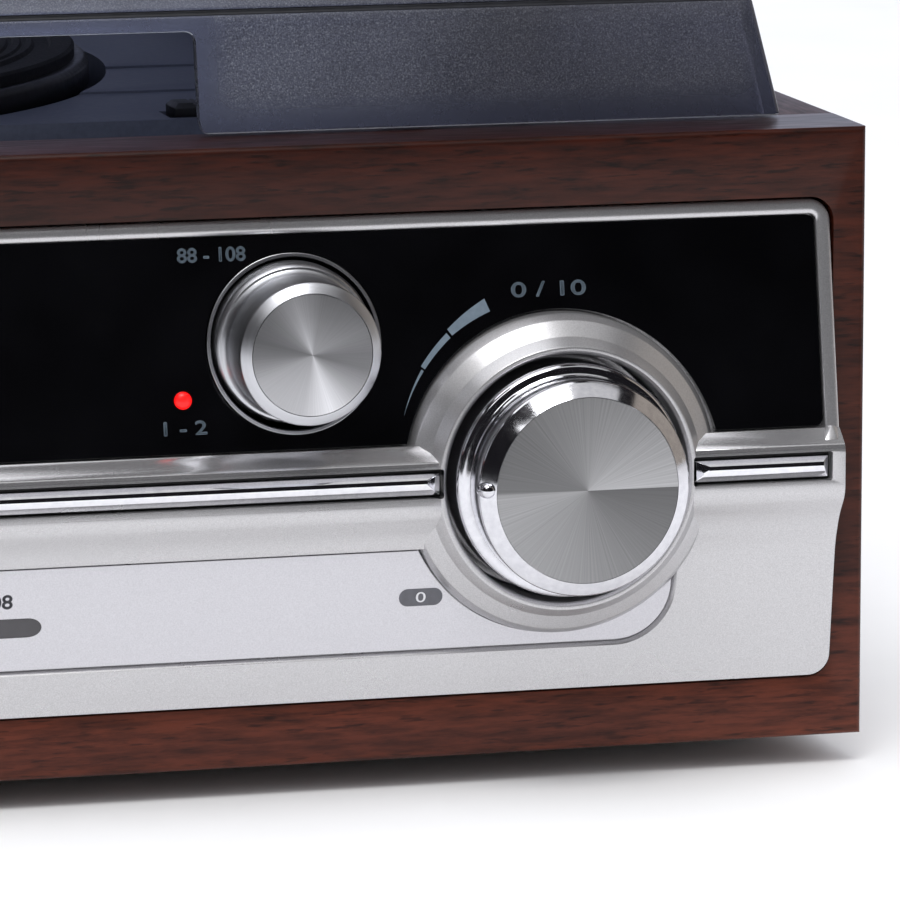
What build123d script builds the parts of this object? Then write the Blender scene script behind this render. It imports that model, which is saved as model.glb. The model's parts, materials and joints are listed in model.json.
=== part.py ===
from build123d import *
import math
import os

# A wooden record player with a built-in radio, in millimetres.
# Sizes are worked out in the cabinet's own frame: X from the cabinet's middle, Y back from
# the front board's face, Z up from the boards' lower edge. save() moves every piece so that
# the origin is at the middle of the whole object, on the surface it stands on.

# Cabinet
cabinet_width = 344.0
cabinet_depth = 300.0
cabinet_height = 100.0
front_board_thick = 18.0
side_board_thick = 12.0
back_board_thick = 9.0
bottom_board_thick = 9.0
board_edge_round = 1.0
corner_block_size = 20.0
front_block_gap = 4.0
wood_screw_r = 1.5
wood_screw_head_r = 3.2
wood_screw_head_thick = 1.6
wood_screw_length = 18.0
pilot_gap = 0.05
back_screw_foot_z = 22.0
back_screw_drop = 38.0

# Feet
foot_height = 5.0
foot_r = 10.0
foot_inset = 38.0
foot_taper = 1.0

# Silver front panel: a moulded shell whose side profile leans, juts out as a ridge and sweeps in
panel_side_margin = 6.0
panel_top_margin = 11.6
panel_bottom_margin = 10.4
panel_gap = 0.5
panel_corner_r = 3.5
panel_rim_back = 11.9
panel_skin = 3.0
bead_width = 2.4
bead_proud = 0.6
window_top_y = 0.75
window_foot_y = -5.8
window_foot_rise = 2.9
ledge_y = -8.5
ridge_y = -8.95
ridge_top_drop = 0.8
ridge_foot_drop = 7.1
flare_start_y = -8.1
flare_start_drop = 8.9
flare_end_y = -4.2
flare_end_drop = 16.8
lower_top_y = -3.3
lower_top_drop = 20.4
lower_foot_y = -0.8
recess_depth = 12.0
recess_web_side = 18.5
recess_web_rail = 6.0
boss_r = 3.2
boss_side_x_inset = 11.0
boss_side_inset = (14.6, 13.4)
boss_rail_from_knob = 59.6
boss_rail_inset = 3.0
panel_screw_r = 1.4
panel_screw_hole_gap = 0.3
panel_screw_head_r = 2.7
panel_screw_head_thick = 1.8
panel_screw_bite = 5.0

# Black window over the upper half of the panel
window_thick = 1.6
window_gap = 0.15

# Thin silver dial plate let into the lower half
plate_side_margin = 27.6
plate_foot_rise = 7.9
plate_top_drop = 14.6
plate_corner_r = 9.0
plate_thick = 1.0
plate_gap = 0.25
plate_foot_gap = 0.4
dial_slot_half = 34.6
dial_slot_height = 2.8
dial_slot_rise = 7.0

# Chrome strips in the ridge
strip_foot_drop = 4.5
strip_height = 3.6
strip_land = 0.7
strip_land_rise = 1.5
strip_front_y = -8.75
strip_side_y = -7.5
strip_floor_y = -6.9
strip_hip = 2.0
strip_slot_gap = 0.35
strip_end_gap = 0.3
strip_outer_inset = 2.4

# Round bezels and the two large knobs
knob_x_inset = 46.4
knob_drop = 3.2
well_r = 20.05
well_floor_y = 3.0
well_floor_thick = 2.0
well_wall = 2.5
bezel_crest_r = 21.3
bezel_crest_y = -8.9
bezel_step_r = 22.65
bezel_step_y = -6.95
bezel_shoulder_r = 25.05
bezel_shoulder_y = -5.2
bezel_base_r = 26.0
bezel_base_y = 1.5
bezel_window_gap = 0.4
knob_skirt_r = 19.3
knob_back_y = 1.0
knob_skirt_front_y = -11.2
knob_body_r = 18.1
knob_bevel_r = 17.9
knob_bevel_y = -19.2
knob_face_y = -20.0
insert_r = 15.3
insert_thick = 1.2
insert_gap = 0.05
nub_r = 1.4
nub_centre_r = 17.0
nub_front_y = -20.5
knob_bore_end_y = -13.5

# Shafts, the rotary controls behind them and the radio board
shaft_r = 3.0
shaft_gap = 0.04
shaft_front_y = -13.0
bush_r = 3.6
bush_gap = 0.1
control_front_y = 6.5
control_half = 11.0
control_bore_depth = 5.0
radio_board_y = 14.5
radio_board_thick = 1.6
radio_board_side_margin = 26.0
radio_board_inset = (6.6, 5.9)
post_from_knob = 27.6
post_inset = (9.6, 9.4)

# Tuning knob, its ring in the window and the cord drive to the dial pointer
tuning_from_knob = 43.4
tuning_drop = 19.55
ring_r = 14.2
ring_wall = 0.7
ring_proud = 0.4
ring_back_y = 3.0
ring_floor_thick = 1.4
ring_gap = 0.1
tuning_flange_r = 12.9
tuning_flange_y = -4.1
tuning_body_r = 11.9
tuning_bevel_r = 11.36
tuning_bevel_y = -13.8
tuning_face_y = -15.3
tuning_insert_r = 9.65
tuning_insert_thick = 1.0
tuning_back_y = 0.6
tuning_bore_end_y = -11.0
tuning_shaft_front_y = -10.5
spool_r = 4.2
spool_flange_r = 6.2
drum_r = 21.0
drum_from_tuning = 46.2
drum_drop = 10.85
drum_flange = 1.5
drum_bore_r = 2.5
cord_y = 8.0
cord_size = 0.8
cord_gap = 0.12
groove_width = 1.4
wheel_flange_thick = 1.0
guide_r = 3.0
guide_left_x = -52.0
guide_right_from_tuning = 3.8
guide_rise = 4.7
dial_frame_y = 12.5
rail_half = 50.0
rail_height = 3.0
rail_top_drop = 1.8
rail_front_y = 6.5
pointer_half = 5.0
pointer_thick = 2.2
pointer_lip = 1.2
pointer_gap = 0.25
needle_half = 0.6
needle_height = 2.2
needle_front_y = -1.0
capacitor_half = 10.0
capacitor_depth = 12.0
capacitor_boss_r = 5.0
led_from_tuning = 18.4
led_drop = 8.25
led_r = 1.5
led_proud = 0.8
led_flange_r = 1.9
led_leg = 0.5

# Deck
deck_gap = 0.4
deck_thick = 2.5
trough_drop = 7.0
step_front_y = 64.6
rest_shelf = (16.4, 15.6)
step_drop = (3.5, 3.1, 2.7)
platter_x_offset = -24.0
platter_back = 1.0
well_gap = 3.0
well_depth = 12.0
pan_wall = 2.5
bearing_boss_r = 8.0
bearing_boss_length = 19.5

# Platter, mat, spindle and drive
platter_r = 98.0
platter_rise = 12.0
platter_rim_drop = 5.5
platter_disc = 3.0
platter_rim = 3.0
drive_ring_inset = 24.0
drive_ring_wall = 3.0
drive_ring_rise = 2.0
platter_hub_r = 11.0
mat_r = 95.5
mat_thick = 2.2
mat_label_r = 50.0
mat_groove_depth = 0.7
spindle_r = 3.6
spindle_proud = 11.0
spindle_cap = 1.0
spindle_neck = 0.4
spindle_neck_length = 1.6
bearing_r = 6.0
bearing_gap = 0.04
platter_spindle_gap = 0.02
motor_angle = 215.0
motor_ring_gap = 5.5
motor_r = 17.0
motor_height = 22.0
motor_seat = 0.3
motor_shaft_r = 1.0
motor_shaft_gap = 0.05
motor_shaft_depth = 8.0
pulley_r = 5.0
pulley_rise = 1.5
pulley_height = 6.5
belt_rise = 3.0
belt_height = 4.0
belt_thick = 0.7
belt_gap = 0.15

# Tonearm
arm_side_margin = 34.0
arm_back_margin = 64.0
arm_rise = 19.0
stylus_y = 47.4
tube_r = 3.5
base_r = 23.0
base_height = 3.7
column_r = 11.0
column_height = 10.0
yoke_r = 13.0
yoke_gap = 0.3
yoke_plate = 1.8
yoke_ear_thick = 3.0
yoke_inner_half = 7.3
yoke_stem_r = 4.0
yoke_stem_gap = 0.05
yoke_stem_depth = 7.0
block_half = 7.0
block_length = 6.5
pivot_pin_r = 1.5
pivot_pin_gap = 0.05
weight_r = 7.5
weight_start = 14.0
weight_length = 14.0
shell_width = 15.0
shell_length = 34.0
shell_thick = 3.0
shell_behind_stylus = 26.6
cartridge_width = 12.0
cartridge_length = 20.0
cartridge_height = 8.0
stylus_width = 6.0
stylus_length = 9.0
stylus_height = 2.6
stylus_tip_r = 0.5
stylus_float = 2.1
rest_reach = 118.0
rest_post_r = 4.0
rest_gap = 0.3
rest_half = 5.0
rest_wall = 2.0
lift_reach = 31.0
lift_bar_half = 2.2
lift_bar_thick = 3.0
lift_start_angle = -9.0
lift_end_angle = 56.0
lift_post_angle = 20.0
lift_post_r = 2.0
lift_post_gap = 0.05
lift_lobe_r = 5.0
lever_from_arm = 18.0
lever_ahead = 14.0
lever_rise = 6.7
lever_length = 20.0
lever_thick = 3.0
lever_r = 3.0
lever_pin_r = 1.5

# Small deck controls and the lift-off adaptor for large-holed records
speed_x = 79.0
speed_y = 71.2
speed_cap = (12.0, 7.0, 2.2)
speed_travel = 20.0
slot_margin = 1.0
slot_depth = 1.2
slot_stem = 2.0
slot_stem_length = 5.0
slot_stem_gap = 0.4
cap_float = 0.3
adaptor_side_margin = 32.0
adaptor_y = 44.0
adaptor_r = 19.0
adaptor_height = 6.0
adaptor_post_gap = 0.1
adaptor_lobe_r = 5.5

# Lid: one smoky shell in two tiers, notched where a large record overhangs
lid_lift = 0.4
lid_front_y = 14.0
lid_back_inset = 10.0
lid_side_inset = 9.9
lid_shoulder_rise = 20.0
lid_shoulder_in = 4.0
lid_top_rise = 42.0
lid_top_in = 19.0
lid_wall = 2.3
lid_corner_r = 5.0
lid_top_corner_r = 9.0
notch_half = 89.0
notch_height = 16.2
notch_r = 2.0
notch_flare = 3.0
side_notch_half = 80.0

# Hinges
hinge_side_margin = 22.0
hinge_half = 12.0
hinge_leaf = 1.6
hinge_leaf_drop = 28.0
hinge_axis_rise = 1.5
hinge_barrel_r = 3.4
hinge_pin_r = 1.5
hinge_pin_gap = 0.05
hinge_middle_half = 5.0
hinge_gap = 0.3
hinge_plate_rise = 1.8
hinge_plate_height = 17.0
hinge_rivet_r = 1.5
hinge_rivet_gap = 0.1

# Loudspeakers behind round grilles in the side boards
speaker_y = 85.0
speaker_r = 38.5
speaker_hole_r = 34.0
speaker_flange = 3.0
speaker_depth = 32.0
speaker_magnet_r = 22.0
speaker_magnet_depth = 12.0
cone_thick = 0.8
grille_r = 40.0
grille_thick = 1.6
grille_hole_r = 2.2
grille_pitch = 7.0
grille_field_r = 31.0

# Electronics and sockets
main_board_left_x = -40.0
main_board_width = 130.0
main_board_depth = 92.0
main_board_back_gap = 29.0
main_board_lift = 8.0
main_board_thick = 1.6
standoff_r = 3.5
standoff_inset = 6.0
tall_capacitor = (8.0, 30.0)
capacitor = (6.0, 22.0)
capacitor_pitch = 18.0
heat_sink = (40.0, 12.0, 26.0)
chip = (20.0, 8.0, 5.0)
transformer_side_gap = 42.0
transformer_back_gap = 47.0
transformer_width = 52.0
transformer_depth = 48.0
transformer_height = 36.0
coil_side = 9.0
coil_end = 12.0
coil_step = 7.0
coil_round = 4.0
strap_reach = 8.0
strap_thick = 1.5
socket_plate_side_gap = 56.0
socket_plate_width = 44.0
socket_plate_foot_z = 38.0
socket_plate_height = 28.0
socket_plate_thick = 1.5
socket_plate_lap = 4.0
socket_x_inset = (10.5, 24.5)
socket_r = 4.1
socket_bore_r = 1.7
socket_length = 9.0
socket_flange_r = 5.5
aux_x_inset = 35.4
aux_r = 3.0
aux_bore_r = 1.8
inlet_side_gap = 42.0
inlet_z = 30.0
inlet_half = 13.0
inlet_height = 15.0
inlet_depth = 20.0
inlet_flange = 3.0
inlet_flange_thick = 1.5
inlet_mouth_half = 7.4
inlet_mouth_height = 8.4
inlet_mouth_depth = 13.0
inlet_pin_r = 1.2
inlet_pin_pitch = 8.6

# Overlong reach of cuts that run right through, and how far joined pieces sink into each other
through = 400.0
sink = 0.5

half_width = cabinet_width / 2
inner_half = half_width - side_board_thick
back_inner_y = cabinet_depth - back_board_thick
panel_half = half_width - panel_side_margin
panel_top_z = cabinet_height - panel_top_margin
panel_foot_z = panel_bottom_margin
ledge_z = (panel_top_z + panel_foot_z) / 2
window_foot_z = ledge_z + window_foot_rise
ridge_top_z = ledge_z - ridge_top_drop
ridge_foot_z = ledge_z - ridge_foot_drop
flare_start_z = ledge_z - flare_start_drop
flare_end_z = ledge_z - flare_end_drop
lower_top_z = ledge_z - lower_top_drop
knob_x = panel_half - knob_x_inset
knob_z = ledge_z - knob_drop
field_half = panel_half - bead_width
field_top_z = panel_top_z - bead_width
plate_half = panel_half - plate_side_margin
plate_foot_z = panel_foot_z + plate_foot_rise
plate_top_z = ledge_z - plate_top_drop
dial_slot_z = plate_foot_z + dial_slot_rise
strip_foot_z = ledge_z - strip_foot_drop
strip_land_z = strip_foot_z + strip_land_rise
radio_board_half = panel_half - radio_board_side_margin
radio_board_foot_z = panel_foot_z + radio_board_inset[0]
radio_board_top_z = panel_top_z - radio_board_inset[1]
post_x = knob_x - post_from_knob
post_z = (panel_foot_z + post_inset[0], panel_top_z - post_inset[1])
boss_side_z = (panel_foot_z + boss_side_inset[0], panel_top_z - boss_side_inset[1])
boss_rail_x = knob_x - boss_rail_from_knob
tuning_x = knob_x - tuning_from_knob
tuning_z = panel_top_z - tuning_drop
drum_x = tuning_x - drum_from_tuning
drum_z = tuning_z - drum_drop
guide_right_x = tuning_x + guide_right_from_tuning
guide_z = dial_slot_z + guide_rise
rail_top_z = dial_slot_z - rail_top_drop
rail_foot_z = rail_top_z - rail_height
led_x = tuning_x - led_from_tuning
led_z = tuning_z - led_drop
trough_top_z = cabinet_height - trough_drop
step_z = tuple(cabinet_height - drop for drop in step_drop)
well_bottom_z = cabinet_height - well_depth
bearing_foot_z = well_bottom_z - deck_thick - bearing_boss_length
platter_x = platter_x_offset
platter_y = cabinet_depth / 2 + platter_back
platter_top_z = well_bottom_z + platter_rise
platter_foot_z = platter_top_z - platter_rim_drop
drive_ring_r = platter_r - drive_ring_inset
drive_ring_foot_z = well_bottom_z + drive_ring_rise
motor_reach = drive_ring_r + pulley_r + motor_ring_gap
pulley_foot_z = well_bottom_z + pulley_rise
pulley_top_z = pulley_foot_z + pulley_height
belt_foot_z = well_bottom_z + belt_rise
pan_r = platter_r + well_gap
motor_x = platter_x + motor_reach * math.cos(math.radians(motor_angle))
motor_y = platter_y + motor_reach * math.sin(math.radians(motor_angle))
arm_x = inner_half - arm_side_margin
arm_y = cabinet_depth - arm_back_margin
arm_z = cabinet_height + arm_rise
arm_length = arm_y - stylus_y
shell_back = arm_length - shell_behind_stylus
base_top_z = step_z[2] + base_height
column_top_z = base_top_z + column_height
stylus_tip_z = platter_top_z + mat_thick + stylus_float
rest_y = arm_y - rest_reach
step_y = (step_front_y, rest_y - rest_shelf[0], rest_y + rest_shelf[1])
lever_x = arm_x + lever_from_arm
lever_y = arm_y - lever_ahead
lever_z = step_z[2] + lever_rise
adaptor_x = adaptor_side_margin - inner_half
lid_shoulder_z = cabinet_height + lid_shoulder_rise
lid_top_z = cabinet_height + lid_top_rise
hinge_x = inner_half - hinge_side_margin
hinge_foot_z = cabinet_height - hinge_leaf_drop
hinge_axis_z = cabinet_height + hinge_axis_rise
hinge_axis_y = cabinet_depth + hinge_leaf + hinge_barrel_r
hinge_plate_top_z = cabinet_height + hinge_plate_height
speaker_z = cabinet_height / 2
main_board_z = bottom_board_thick + main_board_lift
socket_z = socket_plate_foot_z + socket_plate_height / 2
socket_plate_left_x = inner_half - socket_plate_side_gap - socket_plate_width
socket_x = tuple(socket_plate_left_x + inset for inset in socket_x_inset)
aux_x = socket_plate_left_x + aux_x_inset
inlet_x = inlet_side_gap - inner_half
socket_end_y = cabinet_depth + socket_plate_thick + socket_length
back_reach = max(socket_end_y, hinge_axis_y + hinge_barrel_r) - cabinet_depth
knob_reach = -nub_front_y
front_y = knob_reach - (cabinet_depth + knob_reach + back_reach) / 2


def save(name, *shapes):
    """Write one piece, or several loose solids that share a name, in the object's frame."""
    move = Pos(0, front_y, foot_height)
    solids = [move * solid for shape in shapes for solid in shape.solids()]
    whole = solids[0] if len(solids) == 1 else Compound(solids)
    export_step(whole, "parts/" + name + ".step")


def block(x0, x1, y0, y1, z0, z1):
    middle = Pos((x0 + x1) / 2, (y0 + y1) / 2, (z0 + z1) / 2)
    return middle * Box(x1 - x0, y1 - y0, z1 - z0)


def rod_x(y, z, radius, x0, x1):
    return Pos((x0 + x1) / 2, y, z) * Rot(0, 90, 0) * Cylinder(radius, x1 - x0)


def rod_y(x, z, radius, y0, y1):
    return Pos(x, (y0 + y1) / 2, z) * Rot(90, 0, 0) * Cylinder(radius, y1 - y0)


def rod_z(x, y, radius, z0, z1):
    return Pos(x, y, (z0 + z1) / 2) * Cylinder(radius, z1 - z0)


def turned_y(x, z, outline):
    """A turned piece on an axis along Y. The outline is pairs of radius and Y."""
    face = make_face(Polyline([(r, y, 0) for r, y in outline], close=True))
    return Pos(x, 0, z) * revolve(face, Axis.Y, 360)


def turned_z(x, y, outline):
    """A turned piece on an upright axis. The outline is pairs of radius and Z."""
    face = make_face(Polyline([(r, 0, z) for r, z in outline], close=True))
    return Pos(x, y, 0) * revolve(face, Axis.Z, 360)


def turned_x(y, z, outline):
    """A turned piece on an axis along X. The outline is pairs of radius and X."""
    face = make_face(Polyline([(x, r, 0) for r, x in outline], close=True))
    return Pos(0, y, z) * revolve(face, Axis.X, 360)


def along_y(sketch, y0, y1):
    """A flat outline, drawn in X and Z, pushed from y0 to y1."""
    return Pos(0, y1, 0) * Rot(90, 0, 0) * extrude(sketch, y1 - y0)


def along_x(face, x0, x1):
    """A side outline, drawn in Y and Z, pushed from x0 to x1."""
    return Pos(x0, 0, 0) * extrude(Plane.YZ * face, x1 - x0)


def rounded_box(width, depth, radius):
    return RectangleRounded(width, depth, radius)


def side_polygon(points):
    return make_face(Polyline([(y, z) for y, z in points], close=True))


# Panel profile
def lower_face_y(z):
    slope = (lower_top_y - lower_foot_y) / (lower_top_z - panel_foot_z)
    return lower_foot_y + slope * (z - panel_foot_z)


def window_face_y(z):
    slope = (window_top_y - window_foot_y) / (panel_top_z - window_foot_z)
    return window_foot_y + slope * (z - window_foot_z)


def panel_face_y(z):
    if z > window_foot_z:
        return window_face_y(z)
    return lower_face_y(z)


def panel_profile(shift, far_y):
    """The panel's side outline from its leaning front, moved back by shift, to far_y."""
    top = (window_top_y + shift, panel_top_z)
    foot = (lower_foot_y + shift, panel_foot_z)
    lines = [
        Line(top, (window_foot_y + shift, window_foot_z)),
        Line((window_foot_y + shift, window_foot_z), (ledge_y + shift, ledge_z)),
        Line((ledge_y + shift, ledge_z), (ridge_y + shift, ridge_top_z)),
        Line((ridge_y + shift, ridge_top_z), (ridge_y + shift, ridge_foot_z)),
        Line((ridge_y + shift, ridge_foot_z), (flare_start_y + shift, flare_start_z)),
        Line((flare_start_y + shift, flare_start_z), (flare_end_y + shift, flare_end_z)),
        TangentArc(
            (flare_end_y + shift, flare_end_z),
            (lower_top_y + shift, lower_top_z),
            tangent=(flare_end_y - flare_start_y, flare_end_z - flare_start_z),
        ),
        Line((lower_top_y + shift, lower_top_z), foot),
        Line(foot, (far_y, panel_foot_z)),
        Line((far_y, panel_foot_z), (far_y, panel_top_z)),
        Line((far_y, panel_top_z), top),
    ]
    return make_face(lines)


def panel_screw_places():
    """X, Z and the web or board face that each panel screw's head bears on."""
    side_x = panel_half - boss_side_x_inset
    places = [(s * side_x, z) for s in (-1, 1) for z in boss_side_z]
    for s in (-1, 1):
        places.append((s * boss_rail_x, panel_foot_z + boss_rail_inset))
        places.append((s * boss_rail_x, panel_top_z - boss_rail_inset))
    return places


def board_post_places():
    return [(s * post_x, z) for s in (-1, 1) for z in post_z]


# Cabinet
def front_board():
    board = block(-half_width, half_width, 0, front_board_thick, 0, cabinet_height)
    edges = board.edges().filter_by_position(Axis.Y, -0.01, 0.01)
    board = fillet(edges, board_edge_round)
    cut_half = panel_half + panel_gap
    cut_foot = panel_foot_z - panel_gap
    cut_top = panel_top_z + panel_gap
    middle_z = (cut_foot + cut_top) / 2
    recess = Pos(0, middle_z) * rounded_box(2 * cut_half, cut_top - cut_foot, panel_corner_r + panel_gap)
    board -= along_y(recess, -1, recess_depth)
    web_half = cut_half - recess_web_side
    board -= block(
        -web_half,
        web_half,
        recess_depth - 1,
        front_board_thick + 1,
        cut_foot + recess_web_rail,
        cut_top - recess_web_rail,
    )
    for x, z in panel_screw_places():
        hole_r = panel_screw_r + panel_screw_hole_gap
        board -= rod_y(x, z, hole_r, recess_depth - 1, front_board_thick + 1)
    return board


def side_board(side):
    outer = side * half_width
    inner = side * inner_half
    board = block(
        min(outer, inner), max(outer, inner), front_board_thick, cabinet_depth, 0, cabinet_height
    )
    board -= rod_x(speaker_y, speaker_z, speaker_hole_r, min(outer, inner) - 1, max(outer, inner) + 1)
    pocket = side * (half_width - grille_thick)
    board -= rod_x(
        speaker_y, speaker_z, grille_r + deck_gap, min(pocket, outer + side), max(pocket, outer + side)
    )
    return board


def socket_plate_box():
    x0 = socket_plate_left_x
    z0 = socket_plate_foot_z
    return x0, x0 + socket_plate_width, z0, z0 + socket_plate_height


def socket_hole_box():
    x0, x1, z0, z1 = socket_plate_box()
    lap = socket_plate_lap
    return x0 + lap, x1 - lap, z0 + lap, z1 - lap


def wood_screw_places():
    x = inner_half - corner_block_size / 2
    return [(s * x, z) for s in (-1, 1) for z in (back_screw_foot_z, cabinet_height - back_screw_drop)]


def back_board():
    board = block(-inner_half, inner_half, back_inner_y, cabinet_depth, 0, cabinet_height)
    x0, x1, z0, z1 = socket_hole_box()
    board -= block(x0, x1, back_inner_y - 1, cabinet_depth + 1, z0, z1)
    half = inlet_half + deck_gap
    tall = inlet_height / 2 + deck_gap
    board -= block(
        inlet_x - half,
        inlet_x + half,
        back_inner_y - 1,
        cabinet_depth + 1,
        inlet_z - tall,
        inlet_z + tall,
    )
    for x, z in wood_screw_places():
        board -= rod_y(x, z, wood_screw_r + pilot_gap, back_inner_y - 1, cabinet_depth + 1)
    return board


def bottom_board():
    return block(
        -inner_half, inner_half, front_board_thick, back_inner_y, 0, bottom_board_thick
    )


def deck_screw_places():
    """X, Y and the deck surface under each deck screw's head."""
    x = inner_half - corner_block_size / 2
    front = front_board_thick + front_block_gap + corner_block_size / 2
    back = back_inner_y - corner_block_size / 2
    return [(s * x, y, z) for s in (-1, 1) for y, z in ((front, trough_top_z), (back, step_z[2]))]


def corner_blocks():
    blocks = []
    for x, y, z in deck_screw_places():
        half = corner_block_size / 2
        post = block(
            x - half, x + half, y - half, y + half, bottom_board_thick, z - deck_thick
        )
        post -= rod_z(x, y, wood_screw_r + pilot_gap, z - wood_screw_length - 2, z)
        for sx, sz in wood_screw_places():
            if y > cabinet_depth / 2 and sx * x > 0:
                post -= rod_y(sx, sz, wood_screw_r + pilot_gap, y - half - 1, y + half + 1)
        blocks.append(post)
    return blocks


def screw_down(x, y, z, radius, head_r, head_thick, length):
    head = rod_z(x, y, head_r, z, z + head_thick)
    slot = block(x - head_r, x + head_r, y - 0.5, y + 0.5, z + head_thick / 2, z + head_thick + 1)
    return head - slot + rod_z(x, y, radius, z - length, z)


def screw_forward(x, z, y, radius, head_r, head_thick, length):
    """A screw whose head stands on the face at y and whose shank runs to the front."""
    head = rod_y(x, z, head_r, y, y + head_thick)
    slot = block(x - head_r, x + head_r, y + head_thick / 2, y + head_thick + 1, z - 0.5, z + 0.5)
    return head - slot + rod_y(x, z, radius, y - length, y)


def cabinet_screws():
    screws = [
        screw_forward(
            x, z, cabinet_depth, wood_screw_r, wood_screw_head_r, wood_screw_head_thick, wood_screw_length
        )
        for x, z in wood_screw_places()
    ]
    for x, y, z in deck_screw_places():
        screws.append(
            screw_down(x, y, z, wood_screw_r, wood_screw_head_r, wood_screw_head_thick, wood_screw_length)
        )
    return screws


def feet():
    shapes = []
    for sx in (-1, 1):
        for y in (foot_inset, cabinet_depth - foot_inset):
            outline = [
                (0, 0),
                (foot_r, 0),
                (foot_r - foot_taper, -foot_height),
                (foot_r / 2, -foot_height),
                (foot_r / 2 - foot_taper, -foot_height / 2),
                (0, -foot_height / 2),
            ]
            shapes.append(turned_z(sx * (half_width - foot_inset), y, outline))
    return shapes


# Front panel and its trim
def bezel(x):
    outline = [
        (bush_r + bush_gap, well_floor_y),
        (well_r, well_floor_y),
        (well_r, (bezel_crest_y + bezel_shoulder_y) / 2 + 1.5),
        (bezel_crest_r - 0.4, bezel_crest_y + 0.2),
        (bezel_crest_r, bezel_crest_y),
        (bezel_step_r, bezel_step_y),
        (bezel_shoulder_r, bezel_shoulder_y),
        (bezel_base_r, bezel_shoulder_y / 2),
        (bezel_base_r, bezel_base_y),
        (well_r + well_wall, bezel_base_y),
        (well_r + well_wall, well_floor_y + well_floor_thick),
        (bush_r + bush_gap, well_floor_y + well_floor_thick),
    ]
    return turned_y(x, knob_z, outline)


def window_slab(grow, far):
    """The leaning slab that the window fills, grown all round, from its face back to far."""
    low = window_foot_z - grow
    high = field_top_z + grow
    front = bead_proud
    points = [
        (window_face_y(low) + front, low),
        (window_face_y(high) + front, high),
        (window_face_y(high) + front + far, high),
        (window_face_y(low) + front + far, low),
    ]
    half = field_half - 2 * window_gap + grow
    return along_x(side_polygon(points), -half, half)


def plate_outline(grow, foot_grow):
    low = plate_foot_z - foot_grow
    high = plate_top_z + grow
    half = plate_half + grow
    shape = Pos(0, (low + high) / 2) * Rectangle(2 * half, high - low)
    corners = shape.vertices().sort_by(Axis.Y)[:2]
    shape = fillet(corners, plate_corner_r + grow)
    for s in (-1, 1):
        shape -= Pos(s * knob_x, knob_z) * Circle(bezel_base_r + plate_gap - grow)
    return shape


def plate_slab(front_extra, back):
    low = plate_foot_z - 2
    high = plate_top_z + 2
    front = bead_proud - front_extra
    points = [
        (lower_face_y(low) + front, low),
        (lower_face_y(high) + front, high),
        (lower_face_y(high) + bead_proud + back, high),
        (lower_face_y(low) + bead_proud + back, low),
    ]
    return along_x(side_polygon(points), -half_width, half_width)


def dial_slot(y0, y1):
    slot = Pos(0, dial_slot_z) * SlotOverall(2 * dial_slot_half, dial_slot_height)
    return along_y(slot, y0, y1)


def strip_spans():
    """Left and right ends of the three chrome strips."""
    inner = knob_x - well_r - strip_end_gap
    start = knob_x + well_r + strip_end_gap
    end = panel_half - strip_outer_inset
    return [(-end, -start), (-inner, inner), (start, end)]


def front_panel():
    shell = along_x(panel_profile(0, panel_rim_back), -panel_half, panel_half)
    middle_z = (panel_top_z + panel_foot_z) / 2
    face = Pos(0, middle_z) * rounded_box(2 * panel_half, panel_top_z - panel_foot_z, panel_corner_r)
    shell = shell & along_y(face, ridge_y - 5, panel_rim_back + 1)
    inside_bead = block(-field_half, field_half, -through, through, ledge_z, field_top_z)
    below_bead = block(-half_width, half_width, -through, through, 0, ledge_z)
    in_front = along_x(panel_profile(bead_proud, -through), -half_width, half_width)
    shell -= in_front & (inside_bead + below_bead)
    hollow_half = panel_half - panel_skin
    behind = along_x(panel_profile(bead_proud + panel_skin, through), -hollow_half, hollow_half)
    inside = block(
        -hollow_half,
        hollow_half,
        -through,
        through,
        panel_foot_z + panel_skin,
        panel_top_z - panel_skin,
    )
    shell -= behind & inside
    for x, z in panel_screw_places():
        start = panel_face_y(z) + bead_proud + panel_skin / 2
        boss = rod_y(x, z, boss_r, start, recess_depth)
        shell += boss
        shell -= rod_y(x, z, panel_screw_r + pilot_gap, recess_depth - panel_screw_bite - 1, recess_depth + 1)
    for x, z in board_post_places():
        start = panel_face_y(z) + bead_proud + panel_skin / 2
        shell += rod_y(x, z, boss_r, start, radio_board_y)
        shell -= rod_y(
            x, z, panel_screw_r + pilot_gap, radio_board_y - panel_screw_bite - 1, radio_board_y + 1
        )
    shell -= window_slab(window_gap, window_thick)
    for s in (-1, 1):
        shell -= rod_y(s * knob_x, knob_z, well_r + well_wall, -through, through)
        shell += bezel(s * knob_x)
    plate_pocket = along_y(plate_outline(plate_gap, plate_gap + plate_foot_gap), -through, through)
    shell -= plate_pocket & plate_slab(through, plate_thick)
    shell -= dial_slot(-through, through)
    for x0, x1 in strip_spans():
        low = strip_foot_z - strip_slot_gap
        high = strip_foot_z + strip_height + strip_slot_gap
        x0 = x0 - (2 * strip_end_gap if abs(x0) < knob_x + well_r + 1 else 0.4)
        x1 = x1 + (2 * strip_end_gap if abs(x1) < knob_x + well_r + 1 else 0.4)
        shell -= block(x0, x1, -through, strip_floor_y, low, high)
    shell -= rod_y(tuning_x, tuning_z, ring_r + ring_gap, -through, through)
    shell -= rod_y(led_x, led_z, led_flange_r + ring_gap, -through, through)
    return shell


def display_window():
    slab = window_slab(0, window_thick)
    for s in (-1, 1):
        slab -= rod_y(s * knob_x, knob_z, bezel_base_r + bezel_window_gap, -through, through)
    slab -= rod_y(tuning_x, tuning_z, ring_r + ring_gap, -through, through)
    slab -= rod_y(led_x, led_z, led_r + ring_gap, -through, through)
    return slab


def dial_plate():
    return along_y(plate_outline(0, 0), -through, through) & plate_slab(0, plate_thick) - dial_slot(-through, through)


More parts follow.
